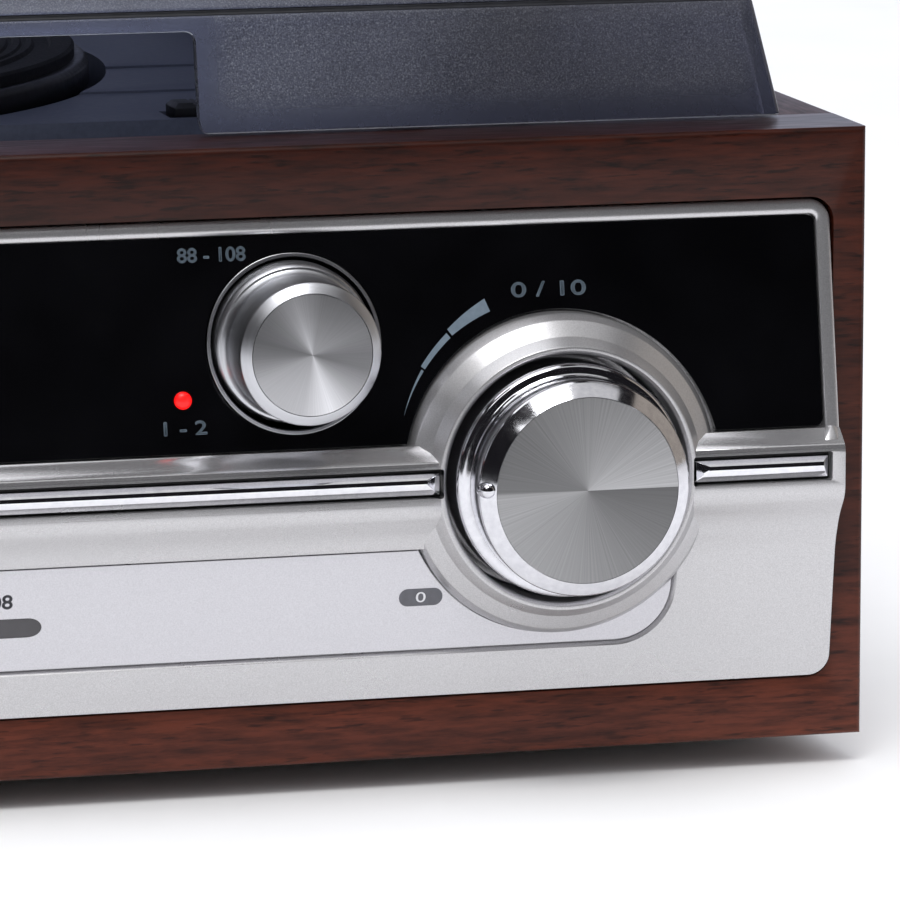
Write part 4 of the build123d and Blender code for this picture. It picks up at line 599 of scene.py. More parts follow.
SLOT_FOOT, SLOT_TOP, SLOT_FLOOR = 43.95, 48.7, -6.9
STRIP_SPANS = ((-163.4, -140.9), (-98.6, 98.6), (140.9, 163.4))


def slot_tools():
    """What cuts the strips' slots."""
    spans = [(x0 - 0.45, x1 + 0.45) for x0, x1 in STRIP_SPANS]
    return [hole(box_points(*span, SLOT_FOOT, SLOT_TOP, 0.4, 5), back=SLOT_FLOOR) for span in spans]


WELL_R, TUNING_HOLE_R, LEDGE_FOOT = 20.6, 14.35, 49.0
tools = [hole(ring_points(s * KNOB_X, KNOB_Z, WELL_R, 120), back=10) for s in (-1, 1)]
tools.append(hole(ring_points(TUNING_X, TUNING_Z, TUNING_HOLE_R, 120), back=10))
tools.append(hole(plate_line(0.38, 0.4), back=lambda z: lower_y(z) + PLATE_THICK))
shape = bmesh.new()
rings = []
for grown, y in ((0.3, 0.75), (0.38, 0.6), (1.02, -0.04)):
    line = plate_line(grown, grown + 0.02)
    rings.append([shape.verts.new(at(x, lower_y(z) + y, z)) for x, z in line])
join_rings(shape, rings, closed_ends=True)
tools.append(make("hole", shape, plain_tool))
cut(field, *tools, *slot_tools())
round_edges(field, 0.16, 38, 3)
field.data.materials.append(silver_ledge)
for face in field.data.polygons:
    height = (face.center.z - drawing_origin.z) / MM
    if LEDGE_FOOT < height < WINDOW_FOOT - 0.1 and face.normal.z > 0.2:
        face.material_index = 1
place(field, "cabinet", "silver_panel", "front_panel")
# Painted shade: a dark sheet at the floor of each slot, where the slot is in shade.
for i, (x0, x1) in enumerate(STRIP_SPANS):
    line = box_points(x0 - 0.4, x1 + 0.4, SLOT_FOOT, SLOT_TOP, 0.4, 4)
    slot_shade_sheet = prism(f"slot_lining_{i + 1}", line, SLOT_FLOOR - 0.1, SLOT_FLOOR + 0.5, painted_slot_shade)
    place(slot_shade_sheet, "cabinet", "window_black")
print("panel field:", len(field.data.polygons), "faces")

# %% [markdown]
# ## Bead round the window
#
# A half-round bead frames the window on three sides. It stands on the ledge at both ends,
# where a small slanted facet lets it die into the ledge.


# %% Bead
CORNER_STEPS, BEAD_STEPS = 12, 14
BEAD_FOOT = WINDOW_FOOT - 1.2


def bead_path():
    """Places along the bead, from ledge to ledge over the top, with the way inwards."""
    sides = [BEAD_FOOT, WINDOW_FOOT, 58.0, 66.0, 75.0, 84.85]
    path = [(PANEL_HALF, z, -1.0, 0.0) for z in sides]
    middle_z = PANEL_TOP - CORNER
    for middle_x, start in ((PANEL_HALF - CORNER, 0.0), (CORNER - PANEL_HALF, 90.0)):
        for k in range(CORNER_STEPS + 1):
            angle = math.radians(start + 90.0 * k / CORNER_STEPS)
            a, b = math.cos(angle), math.sin(angle)
            path.append((middle_x + CORNER * a, middle_z + CORNER * b, -a, -b))
    return path + [(-PANEL_HALF, z, 1.0, 0.0) for z in reversed(sides)]


def bead_crest(z):
    """The bead keeps to the window's lean, down into the ledge."""
    return window_y(z) - PROUD


shape = bmesh.new()
rings = []
for x, z, inward_x, inward_z in bead_path():
    ring = []
    for k in range(BEAD_STEPS + 1):
        d = BEAD * (1 - math.cos(math.pi * k / BEAD_STEPS)) / 2
        rise = math.sqrt(max(0.0, 1 - (2 * d / BEAD - 1) ** 2))
        px, pz = x + inward_x * d, z + inward_z * d
        ring.append(shape.verts.new(at(px, bead_crest(pz) + 1.1 * PROUD * (1 - rise) + 0.02, pz)))
    for d in (BEAD, 0.0):
        px, pz = x + inward_x * d, z + inward_z * d
        ring.append(shape.verts.new(at(px, RIM_BACK, pz)))
    rings.append(ring)
join_rings(shape, rings, closed_ends=True)
bead = place(make("window_bead", shape, silver, 50), "cabinet", "silver_panel", "front_panel")
# Where the bead dies into the ledge: its inner foot, ridge and outer foot, then two low points.
BEAD_END = (
    (163.6, -5.3, 52.3),
    (164.6, -5.85, 52.5),
    (165.6, -5.4, 52.3),
    (162.6, -7.9, 50.1),
    (165.2, -7.9, 50.1),
)
for side, word in ((-1, "left"), (1, "right")):
    shape = bmesh.new()
    a, crest, b, c, d = [shape.verts.new(at(side * x, y, z)) for x, y, z in BEAD_END]
    root = shape.verts.new(at(side * 164.3, -3.5, 50.5))
    for corners in ((a, crest, c), (crest, d, c), (crest, b, d), (a, root, crest)):
        shape.faces.new(corners)
    for corners in ((crest, root, b), (a, c, root), (c, d, root), (d, b, root)):
        shape.faces.new(corners)
    bead_end = round_edges(make(word + "_bead_end", shape, silver, 20), 0.15, 20, 2, 30)
    place(bead_end, "cabinet", "silver_panel", "front_panel")
print("bead:", len(bead.data.polygons), "faces")

# %% [markdown]
# ## Round bezels
#
# Each large knob stands in a well whose rim rises out of the panel in three bands: a dark
# outer slope, a broad cone that catches the light and a steeper inner one up to the crest.

# %% Bezels
bezel_line = soften(
    [
        (3.75, 5.0),
        (3.75, 3.0),
        (20.05, 3.0),
        (20.05, -8.3),
        (20.6, -8.9),
        (21.25, -8.9),
        (22.65, -6.95),
        (25.05, -5.2),
        (26.0, -3.6),
        (26.0, 5.0),
    ],
    [0, 0, 0.4, 0.25, 0.15, 0.15, 0.15, 0.15, 0.4, 0],
    3,
)
for side, word in ((-1, "function"), (1, "volume")):
    centre = (side * KNOB_X, KNOB_Z)
    bezel = lathe(word + "_bezel", centre, bezel_line, silver, loop=True, steps=240, smooth=24)
    smooth_but_for(cut(bezel, *slot_tools()).data, 24)
    place(bezel, "cabinet", "silver_panel", "front_panel")
print("bezels turned")

# %% [markdown]
# ## Black window
#
# A sheet of clear acrylic printed black behind: deep black, very smooth, with a hair of
# haze. It is cut round the bezels and holed for the tuning knob's ring.

# %% Window
# Acrylic printed black behind: the gloss is the acrylic's, the haze is the print's.
gloss_black = finish("window_acrylic", "#040405", 0.05, 0.0, Specular_IOR_Level=0.5)
haze = grain(gloss_black.node_tree, (45, 45, 45), 3.0)
vary(gloss_black, haze, ((0.35, "#030304"), (0.7, "#08080a")), (0.04, 0.08))

window = prism(
    "front_window",
    box_points(-163.3, 163.3, WINDOW_FOOT, WINDOW_TOP - 0.1, 1.2, 5),
    window_y,
    lambda z: window_y(z) + 1.6,
    gloss_black,
)
BEZEL_R = 26.0
tools = [hole(ring_points(s * KNOB_X, KNOB_Z, BEZEL_R + 0.4, 160)) for s in (-1, 1)]
cut(window, *tools, hole(ring_points(TUNING_X, TUNING_Z, TUNING_HOLE_R, 120)))
round_edges(window, 0.22, 50, 3)
place(window, "cabinet", "window_black", "display_window")
print("window:", len(window.data.polygons), "faces")

# %% [markdown]
# ## Dial plate
#
# A thin sheet let into the lower face, a touch brighter than the paint, with a long slot for
# the pointer. The dark line round it is the gap to its pocket.

# %% Dial plate
# Smoke-tinted film behind the slot: grey, with a soft gloss.
film_looks = {"Transmission_Weight": 0.25}
slot_film = drifting("slot_film_smoke", "#48474a", "#525054", 200, (0.16, 0.24), **film_looks)
# Printed aluminium sheet: a finer flake and a whiter tone than the sprayed paint round it.
plate_silver = finish("dial_plate_silver", "#d3d2d8", 0.36, 0.7)
flake = grain(plate_silver.node_tree, (4200, 4200, 4200), 2.0)
vary(plate_silver, flake, ((0.3, "#c6c5ca"), (0.7, "#d3d2d7")))
relief(plate_silver, flake, 0.01, 0.5)
dial_plate = prism(
    "dial_sheet", plate_line(), lower_y, lambda z: lower_y(z) + PLATE_THICK, plate_silver
)
DIAL_SLOT_Z, DIAL_SLOT_R, DIAL_SLOT_HALF, DIAL_SLOT_NOSE = 25.3, 1.58, 34.9, 2.3


def slot_outline(shrink=0.0):
    """A long slot whose ends are half ellipses."""
    line = []
    for side, start in ((1, -90), (-1, 90)):
        for k in range(17):
            a = math.radians(start + 180 * k / 16)
            x = side * (DIAL_SLOT_HALF - DIAL_SLOT_NOSE) + (DIAL_SLOT_NOSE - shrink) * math.cos(a)
            line.append((x, DIAL_SLOT_Z + (DIAL_SLOT_R - shrink) * math.sin(a)))
    return line


slot_line = slot_outline()
knob_gaps = [hole(ring_points(s * KNOB_X, KNOB_Z, BEZEL_R + 0.2, 160)) for s in (-1, 1)]
cut(dial_plate, hole(slot_line), *knob_gaps)
round_edges(dial_plate, 0.1, 50, 2)
place(dial_plate, "cabinet", "dial_plate", "dial_plate")
cut(field, hole(slot_line))
film = prism(
    "dial_slot_film",
    slot_outline(0.01),
    lambda z: lower_y(z) + 0.12,
    lambda z: lower_y(z) + 0.6,
    slot_film,
)
place(film, "cabinet", "dial_plate")
print("dial plate:", len(dial_plate.data.polygons), "faces")

# %% [markdown]
# ## Bright strips
#
# Three chromed strips lie in the ridge. Each has a broad lower slope, a narrow land and a
# short upper slope, with mitred ends that are longest beside the knobs, so it mirrors light
# in long parallel lines.

# %% Strips
# Chromed plastic: a clear mirror with the faintest haze of handling.
chrome = drifting("chrome_trim", "#dedee4", "#ececf0", 700, (0.05, 0.11), 1.0)
KNOB_MITRE, END_MITRE = 2.3, 1.0
# Places across the strip along Y and Z, and whether the mitre draws them in.
STRIP_LINE = (
    (SLOT_FLOOR, 44.4, 0),
    (-7.75, 44.4, 0),
    (-8.8, 46.3, 1),
    (-8.69, 46.95, 1),
    (-7.8, 47.9, 0),
    (SLOT_FLOOR, 47.9, 0),
)
shape = bmesh.new()
for x0, x1 in STRIP_SPANS:
    rings = []
    for x, way in ((x0, 1), (x1, -1)):
        mitre = KNOB_MITRE if abs(x) < 150 else END_MITRE
        places = [(x + way * mitre * drawn_in, y, z) for y, z, drawn_in in STRIP_LINE]
        rings.append([shape.verts.new(at(*spot)) for spot in places])
    join_rings(shape, rings)
    for ring in rings:
        shape.faces.new([ring[0], ring[1], ring[4], ring[5]])
        shape.faces.new([ring[1], ring[2], ring[3], ring[4]])
strips = make("strips_mitred", shape, chrome, 25)
round_edges(strips, 0.14, 15, 3, 25)
place(strips, "cabinet", "chrome_trim", "chrome_strips")
print("strips dressed")

# %% [markdown]
# ## Knobs
#
# Both big knobs are turned from bar and polished: a skirt, a groove, a drum with a bevelled
# front and a small raised nub that points at the scale. The tuning knob is smaller, with a
# flange. The face of each is a disc of spun aluminium pressed in level with the bevel. The
# light and dark wedges that meet at its centre are painted reflection, set by the angle round
# the face; its fine turning marks only stretch the gloss a little.

# %% Knob finishes
# Polished and chromed brass: a mirror, worn a little softer than the strips.
polished = drifting("knob_chrome", "#d0d0d6", "#e0e0e5", 900, (0.09, 0.15), 1.0)


def turned_map(tree):
    """Places round (X) and along (Y) the outline of a turned piece, from its own map."""
    turned = add(tree, "ShaderNodeUVMap", uv_map="turned")
    return add(tree, "ShaderNodeSeparateXYZ", {"Vector": turned}).outputs


def spun_face(name, low, high, rough, stops):
    """Spun aluminium: the gloss stretched a little across the marks, and painted reflection in
    wedges of tone set by the angle round the face.
    """
    made = finish(name, high, rough, 1.0, Anisotropic=0.3, Anisotropic_Rotation=0.25)
    tree = made.node_tree
    angle = turned_map(tree)["X"]
    tangent = add(tree, "ShaderNodeTangent", direction_type="UV_MAP", uv_map="turned")
    drive(made, "Tangent", tangent)
    turn = add(tree, "ShaderNodeMath", {0: angle, 1: 260.0}, **TIMES)
    ray = add(tree, "ShaderNodeCombineXYZ", {"X": turn})
    fine = add(tree, "ShaderNodeTexNoise", {"Vector": ray, "Scale": 1.0, "Detail": 3.0})
    # Painted reflection: the tone set by the angle round the face.
    painted_angle_light = add(tree, "ShaderNodeValToRGB", {"Fac": angle}, stops)
    rays = add(tree, "ShaderNodeValToRGB", {"Fac": fine}, ((0.3, low), (0.7, high)))
    drive(made, "Base Color", add(tree, "ShaderNodeMix", {0: 1.0, 6: rays, 7: painted_angle_light}, **DARKEN))
    spread = {"Value": fine, "From Min": 0.3, "From Max": 0.7}
    spread.update({"To Min": rough - 0.03, "To Max": rough + 0.05})
    drive(made, "Roughness", add(tree, "ShaderNodeMapRange", spread))
    return made


# Painted reflection: the large face's upper half runs from bright to grey and its lower half a tone
# deeper, with a step at the horizontal where the mirrored room changes.
upper = ("#ffffff", "#f9f9f9", "#eaeaea", "#d0d0d0", "#b8b8b8", "#adadad")
lower = ("#e7e7e7", "#d3d3d3", "#cbcbcb", "#bababa", "#a7a7a7", "#9b9b9b")
painted_sunray_light = [(i * 0.0996, colour) for i, colour in enumerate(upper)]
painted_sunray_light += [(0.502 + i * 0.0996, colour) for i, colour in enumerate(lower)]
# Painted highlight: the small face has one bright wedge and the same again opposite.
wedge = [(0.0, "#9a9a9a"), (0.07, "#c4c4c4"), (0.22, "#cecece")]
wedge += [(0.3, "#ffffff"), (0.38, "#bebebe"), (0.455, "#929292")]
painted_bow_tie_light = wedge + [(0.5 + share, colour) for share, colour in wedge] + [(1.0, "#9a9a9a")]
volume_face = spun_face("volume_face_spun", "#bebec0", "#dcdcde", 0.5, painted_sunray_light)
tuning_face = spun_face("tuning_face_spun", "#dcdce0", "#ececf0", 0.38, painted_bow_tie_light)
print("finishes of the knobs are ready")

# %% Volume and function knobs
knob_line = soften(
    [
        (0, 1.0),
        (18.95, 1.0),
        (18.95, -10.3),
        (18.4, -11.0),
        (17.5, -11.1),
        (16.9, -11.7),
        (16.9, -12.4),
        (17.35, -12.9),
        (17.35, -17.8),
        (17.15, -18.15),
        (14.95, -20.0),
        (14.95, -19.0),
        (0, -19.0),
    ],
    [0, 0.5, 0.7, 0.4, 0.4, 0.3, 0.3, 0.3, 0.15, 0.15, 0.05, 0, 0],
    4,
)
NUB_R, NUB_AT, NUB_RISE = 1.35, 16.2, 0.6
FACE_R, FACE_BACK, FACE_FRONT = 14.9, -18.9, -19.97
nub_line = soften(
    [(0, -17.0), (NUB_R, -17.0), (NUB_R, -19.2), (NUB_R - 0.5, -20.1), (0, -20.3)],
    [0, 0, 0.8, 0.6, 0],
    5,
)
face_line = soften(
    [(0, FACE_BACK), (FACE_R, FACE_BACK), (FACE_R, FACE_FRONT), (0, FACE_FRONT)],
    [0, 0, 0.08, 0],
    2,
)
for side, word in ((-1, "function"), (1, "volume")):
    body = word + "_control"
    x = side * KNOB_X
    knob = lathe(word + "_knob_turned", (x, KNOB_Z), knob_line, polished, steps=200)
    place(knob, body, "knob_chrome", word + "_knob")
    nub = lathe(word + "_nub", (x - NUB_AT, KNOB_Z + NUB_RISE), nub_line, polished, steps=40)
    place(nub, body, "knob_chrome", word + "_knob")
    disc = lathe(word + "_face", (x, KNOB_Z), face_line, volume_face, steps=240)
    place(disc, body, "knob_insert", word + "_insert")
print("large knobs turned")

# %% Tuning knob and its ring
tuning_line = soften(
    [
        (0, 0.6),
        (12.9, 0.6),
        (12.9, -3.4),
        (12.35, -4.1),
        (12.0, -4.1),
        (11.4, -4.7),
        (11.2, -5.6),
        (11.45, -6.4),
        (11.45, -13.8),
        (11.35, -14.15),
        (9.75, -15.3),
        (9.75, -14.4),
        (0, -14.4),
    ],
    [0, 0.4, 0.8, 0.3, 0.3, 0.5, 0.5, 0.5, 0.3, 0.2, 0.06, 0, 0],
    4,
)
# Turned aluminium, satin: fine rings round the knob stretch the gloss.
satin_knob = drifting("tuning_knob_satin", "#c2c3c8", "#cdced3", (60, 1200, 60), (0.3, 0.38), 1.0)
knob = lathe("tuning_knob_turned", TUNING_KNOB, tuning_line, satin_knob, steps=180)
place(knob, "tuning_control", "knob_chrome", "tuning_knob")
line = soften([(0, -14.35), (9.67, -14.35), (9.67, -15.25), (0, -15.25)], [0, 0, 0.08, 0], 2)
disc = lathe("tuning_face", TUNING_KNOB, line, tuning_face, steps=200)
place(disc, "tuning_control", "knob_insert", "tuning_insert")

# The ring's front is first left far out, then set just proud of the leaning window.
RING_IN, RING_OUT, RING_RIM, FAR_OUT = 13.5, 14.2, 13.75, -50
ring_line = [(4.4, 3.0), (4.4, 1.6), (RING_IN, 1.6), (RING_IN, FAR_OUT)]
ring_line += [(RING_OUT, FAR_OUT), (RING_OUT, 3.0)]
line = soften(ring_line, [0, 0, 0.4, 0, 0, 0.3], 3)
# Painted shade: the chrome inside the ring is darkened to near black, so that the gap round the knob
# stays dark; the front rim gets the satin metal.
ring_painted_shade = drifting("ring_dark_chrome", "#3a3a3e", "#444448", 400, (0.14, 0.2), 1.0)
ring = lathe("tuning_ring_turned", (TUNING_X, TUNING_Z), line, ring_painted_shade, loop=True, steps=160)
for vertex in ring.data.vertices:
    if vertex.co.y < at(0, FAR_OUT + 10, 0).y:
        z = (vertex.co.z - drawing_origin.z) / MM
        vertex.co.y = at(0, window_y(z) - 0.4, 0).y
round_edges(ring, 0.15, 50, 3)
ring.data.materials.append(satin_knob)
middle = at(TUNING_X, 0, TUNING_Z)
for face in ring.data.polygons:
    out = math.hypot(face.center.x - middle.x, face.center.z - middle.z) / MM
    if out > RING_RIM and face.normal.y < -0.2:
        face.material_index = 1
place(ring, "cabinet", "chrome_trim", "tuning_ring")
print("tuning knob turned")

# %% [markdown]
# ## Red lamp
#
# A small clear-topped red lamp glows beside the tuning knob.

# %% Lamp
# Red polystyrene, lit from behind: brightest at the middle of the dome, deep red at its foot.
glow = finish("lamp_red", "#c40806", 0.35, 0.0, Emission_Strength=1.0, Transmission_Weight=0.1)
tree = glow.node_tree
LAMP_X, LAMP_Z, LAMP_FRONT, LAMP_R = 57.8, 60.6, -4.49, 1.5
shine = ((0.0, "#f60a06"), (0.3, "#e60604"), (0.6, "#8a0303"), (0.8, "#500202"))
out = turned_map(tree)["Y"]
drive(glow, "Emission Color", add(tree, "ShaderNodeValToRGB", {"Fac": out}, shine))
line = [(0, LAMP_FRONT)]
for degrees in range(15, 91, 15):
    a = math.radians(degrees)
    line.append((LAMP_R * math.sin(a), LAMP_FRONT + 1.0 * (1 - math.cos(a))))
line += [(LAMP_R, -1.0), (1.9, -1.0), (1.9, 0.0), (0, 0.0)]
lamp = lathe("stereo_lamp", (LAMP_X, LAMP_Z), line, glow, steps=48)
place(lamp, "cabinet", "lamp_red")
carry(glow, "stereo_led")
print("lamp made")

# %% [markdown]
# ## Printed marks
#
# The marks are silk-screened: cool grey on the window, dark grey on the silver. They are
# figures a few hundredths of a millimetre thick. Only plain numbers are printed, and three
# widening strokes by the volume knob.

# %% Printed marks
# Screen ink is matt and dry beside the glossy window and the sheen of the silver.
ink_light = drifting("ink_cool_grey", "#5f6d79", "#6a7884", 900, (0.4, 0.5))
ink_dark = drifting("ink_dark_grey", "#56565c", "#5f5f66", 900, (0.45, 0.55))
ink_pale = drifting("ink_pale", "#d2d2d6", "#dcdce0", 900, (0.4, 0.5))
INK = 0.03


def print_text(name, text, x0, x1, z0, z1, material, face, lift=INK, bold=0.0):
    """Thin figures that fill a box on a face given as a place along Y that follows z. Bold
    ones are printed five times over, shifted by the boldness in millimetres."""
    curve = bpy.data.curves.new(name, "FONT")
    curve.body = text
    curve.extrude = 0.01
    maker = bpy.data.objects.new(name, curve)
    bpy.context.scene.collection.objects.link(maker)
    bpy.context.view_layer.update()
    seen = maker.evaluated_get(bpy.context.evaluated_depsgraph_get())
    mesh = bpy.data.meshes.new_from_object(seen)
    bpy.data.objects.remove(maker)
    xs = [v.co.x for v in mesh.vertices]
    ys = [v.co.y for v in mesh.vertices]
    shape = bmesh.new()
    shifts = [(0, 0), (bold, 0), (-bold, 0), (0, bold), (0, -bold)] if bold else [(0, 0)]
    for dx, dz in shifts:
        copy = mesh.copy()
        for v in copy.vertices:
            x = x0 + bold + (x1 - x0 - 2 * bold) * (v.co.x - min(xs)) / (max(xs) - min(xs))
            z = z0 + bold + (z1 - z0 - 2 * bold) * (v.co.y - min(ys)) / (max(ys) - min(ys))
            v.co = at(x + dx, face(z + dz) - (lift if v.co.z > 0 else -INK), z + dz)
        shape.from_mesh(copy)
        bpy.data.meshes.remove(copy)
    bpy.data.meshes.remove(mesh)
    return make(name, shape, material)


def mark(thing, slot):
    return place(thing, "cabinet", slot)


DIAL_TEXT = (28.5, 30.9)
DIAL_NUMBERS, DIAL_STEP, DIAL_LAST, DIGIT_HALF = (88, 92, 96, 100, 104, 108), 12.4, 27.8, 0.8
for i, number in enumerate(DIAL_NUMBERS):
    middle, half = DIAL_LAST + (i - 5) * DIAL_STEP, DIGIT_HALF * len(str(number))
    box = (middle - half, middle + half, *DIAL_TEXT)
    text = print_text(f"dial_number_{number}", str(number), *box, ink_dark, lower_y, bold=0.08)
    mark(text, "dial_plate")
for name, text, box in (
    ("tuning_marks", "88 - 108", (57.9, 69.0, 82.0, 84.3)),
    ("volume_marks", "0 / 10", (112.2, 124.6, 74.6, 77.0)),
    ("lamp_marks", "1 - 2", (54.5, 61.5, 55.3, 57.5)),
):
    mark(print_text(name, text, *box, ink_light, window_y, bold=0.06), "window_black")
pill_line = box_points(93.1, 100.3, 25.6, 28.5, 1.44, 8)
pill = prism(
    "zero_pill", pill_line, lambda z: lower_y(z) - INK, lambda z: lower_y(z) + INK, ink_dark
)
mark(pill, "dial_plate")
zero = print_text("zero_mark", "0", 95.9, 97.5, 26.2, 27.9, ink_pale, lower_y, 2 * INK)
mark(zero, "dial_plate")


def drifting_arc(a0, a1, r0, r1, steps=12):
    """Places round the volume knob from angle a0 to a1, while the radius goes from r0 to r1."""
    line = []
    for k in range(steps + 1):
        angle = math.radians(a0 + (a1 - a0) * k / steps)
        radius = r0 + (r1 - r0) * k / steps
        line.append((KNOB_X + radius * math.cos(angle), KNOB_Z + radius * math.sin(angle)))
    return line


# Each stroke's angles, then the radii of its outer and inner line at both ends.
SWELL = (
    ((157.8, 142.1), (28.05, 28.85), (28.05, 28.4)),
    ((141.4, 128.3), (29.2, 29.65), (28.4, 28.65)),
    ((127.4, 112.7), (30.0, 30.8), (28.75, 28.6)),
)
for i, (angles, outer, inner) in enumerate(SWELL):
    outline = drifting_arc(*angles, *outer) + drifting_arc(*angles, *inner)[::-1]
    if outer[0] == inner[0]:
        outline.pop()
    stroke = prism(
        f"volume_stroke_{i + 1}",
        outline,
        lambda z: window_y(z) - INK,
        lambda z: window_y(z) + INK,
        ink_light,
    )
    mark(stroke, "window_black")
print("marks printed")

# %% [markdown]
# ## Smoky lid
#
# The lid is one thin moulding in two tiers, of smoke-tinted plastic. Its faces are textured
# inside, so they sparkle, and are left smooth in a band along every edge. It is built in
# level rings from the foot up, outside and inside, and the notches for the record are cut.

# %% Smoke finish
LID_HALF, LID_FRONT, LID_BACK = 162.1, 14.0, 290.0
LID_FOOT, LID_SHOULDER, LID_TOP = 100.4, 120.0, 142.0
NOTCH_LEFT, NOTCH_RIGHT, NOTCH_HEIGHT = -113.0, 65.0, 16.2
# Smoke-tinted polystyrene, textured inside: see-through but grainy, with sparks of light.
smoke_looks = {"Transmission_Weight": 0.62, "IOR": 1.49, "Specular_IOR_Level": 0.5}
smoke = finish("smoke_plastic", "#6a6d80", 0.3, 0.0, **smoke_looks)
tree = smoke.node_tree
own = add(tree, "ShaderNodeTexCoord").outputs["Object"]
place_on_lid = add(tree, "ShaderNodeMapping", {"Vector": own})
parts = add(tree, "ShaderNodeSeparateXYZ", {"Vector": place_on_lid}).outputs


def beyond(axis, edge, way):
    """1 where a coordinate is past an edge by a few millimetres, fading to 0 at it."""
    edge = drawing_origin["XYZ".index(axis)] + edge * MM
    past = add(tree, "ShaderNodeMath", {0: parts[axis], 1: edge}, operation="SUBTRACT")
    past = add(tree, "ShaderNodeMath", {0: past, 1: way}, **TIMES)
    inputs = {"Value": past, "From Min": 0.0008, "From Max": 0.0055}
    return add(tree, "ShaderNodeMapRange", inputs)


# The grit is coarser than the real grain, which would be too fine to show here. In the mist's
# light parts its sparks are brighter.
grit = grain(tree, (3600, 3600, 3600), 3.0, 0.65)
mist = grain(tree, (24, 24, 24), 3.0, 0.6)
stops = ((0.36, "#3f4356"), (0.55, "#62677c"), (0.7, "#9da3b2"))
dark_spark = add(tree, "ShaderNodeValToRGB", {"Fac": grit}, stops)
stops = ((0.36, "#595d70"), (0.55, "#797e92"), (0.7, "#b0b6c3"))
light_spark = add(tree, "ShaderNodeValToRGB", {"Fac": grit}, stops)
misty = add(tree, "ShaderNodeMapRange", {"Value": mist, "From Min": 0.38, "From Max": 0.6})
spark = add(tree, "ShaderNodeMix", {0: misty, 6: dark_spark, 7: light_spark}, **BLEND)
plain = add(tree, "ShaderNodeValToRGB", {"Fac": mist}, ((0.3, "#61667c"), (0.7, "#70758c")))

# Painted reflection and shade: each tier is brightest in the middle and greyer towards its ends, the
# sloping upper tier much darker at its ends than the lower one; the last few millimetres below the
# top are a plain grey.
from_middle = add(tree, "ShaderNodeMath", {0: parts["X"]}, operation="ABSOLUTE")
from_middle = add(tree, "ShaderNodeMath", {0: from_middle, 1: 5.0}, **TIMES)
stops = ((0.32, "#ffffff"), (0.6, "#bebbb9"), (0.85, "#bab7b8"))
painted_tier_light = add(tree, "ShaderNodeValToRGB", {"Fac": from_middle}, stops)
stops = ((0.15, "#e8e8ea"), (0.6, "#68686c"), (0.85, "#747478"))
painted_slope_light = add(tree, "ShaderNodeValToRGB", {"Fac": from_middle}, stops)
inputs = {0: beyond("Z", LID_SHOULDER, 1), 6: painted_tier_light, 7: painted_slope_light}
tone = add(tree, "ShaderNodeMix", inputs, **BLEND)
inputs = {0: beyond("Z", LID_TOP - 4.0, 1), 6: tone, 7: linear("#a9a9ad")}
tone = add(tree, "ShaderNodeMix", inputs, **BLEND)

# The texture stops short of every edge and of the front notch.
above_notch = beyond("Z", LID_FOOT + NOTCH_HEIGHT, 1)
inputs = {0: beyond("X", NOTCH_RIGHT, 1), 1: above_notch}
textured = add(tree, "ShaderNodeMath", inputs, operation="MAXIMUM")
for axis, edge, way in (
    ("X", LID_HALF - 1, -1),
    ("X", 1 - LID_HALF, 1),
    ("Z", LID_FOOT + 0.5, 1),
    ("Z", LID_TOP - 1, -1),
):
    textured = add(tree, "ShaderNodeMath", {0: textured, 1: beyond(axis, edge, way)}, **TIMES)
smoky = add(tree, "ShaderNodeMix", {0: textured, 6: plain, 7: spark}, **BLEND)
drive(smoke, "Base Color", add(tree, "ShaderNodeMix", {0: 1.0, 6: smoky, 7: tone}, **DARKEN))
inputs = {"Value": textured, "To Min": 0.12, "To Max": 0.42}
drive(smoke, "Roughness", add(tree, "ShaderNodeMapRange", inputs))
relief(smoke, add(tree, "ShaderNodeMath", {0: grit, 1: textured}, **TIMES), 0.1, 0.7)
print("smoke finish is ready")


# %% Lid
SHOULDER_IN, TOP_IN, FOOT_RADIUS = 4.0, 19.0, 1.4
SLOPE_RADII = (1.6, 5.6)
WALL = 2.3


def lid_ring(shape, z, drawn_in, groove=0.0, wall=0.0):
    """One level ring of the lid's outline, drawn in by the wall for the inside."""
    if z <= LID_SHOULDER:
        inward = SHOULDER_IN * (z - LID_FOOT) / (LID_SHOULDER - LID_FOOT)
        rear, radius = 0.0, FOOT_RADIUS
    else:
        up = (z - LID_SHOULDER) / (LID_TOP - LID_SHOULDER)
        inward, rear = SHOULDER_IN + (TOP_IN - SHOULDER_IN) * up, TOP_IN * up
        radius = SLOPE_RADII[0] + (SLOPE_RADII[1] - SLOPE_RADII[0]) * up
    inward += drawn_in + groove
    rear += drawn_in + groove * (z > LID_SHOULDER)
    half = LID_HALF - inward - wall
    front, back = LID_FRONT + inward + wall, LID_BACK - rear - wall
    outline = box_points(-half, half, front, back, max(radius - wall, 1.0), 10)
    return [shape.verts.new(at(x, y, z)) for x, y in outline]


# A level's height, how far its rounded edge draws in, and the groove under the shoulder.
outer_levels = [(100.4, 0.35), (100.65, 0.08), (101.0, 0), (105.0, 0), (110.0, 0), (115.0, 0)]
outer_levels += [(118.7, 0), (119.0, 0, 0.15), (119.15, 0, 0.5), (119.7, 0, 0.6)]
outer_levels += [(119.95, 0, 0.3), (120.1, 0, 0.05), (120.5, 0), (127.0, 0), (134.0, 0)]
outer_levels += [(140.2, 0), (141.2, 0.35), (141.8, 1.2), (142.0, 2.4)]
inner_levels = [(100.4, 0.1), (101.0, 0), (110.0, 0), (119.8, 0)]
inner_levels += [(130.0, 0), (138.4, 0), (139.5, 0.8), (139.7, 2.0)]
shape = bmesh.new()
outer = [lid_ring(shape, *level) for level in outer_levels]
inner = [lid_ring(shape, *level, wall=WALL) for level in inner_levels]
join_rings(shape, outer)
join_rings(shape, inner)
join_rings(shape, [outer[0], inner[0]])
shape.faces.new(outer[-1])
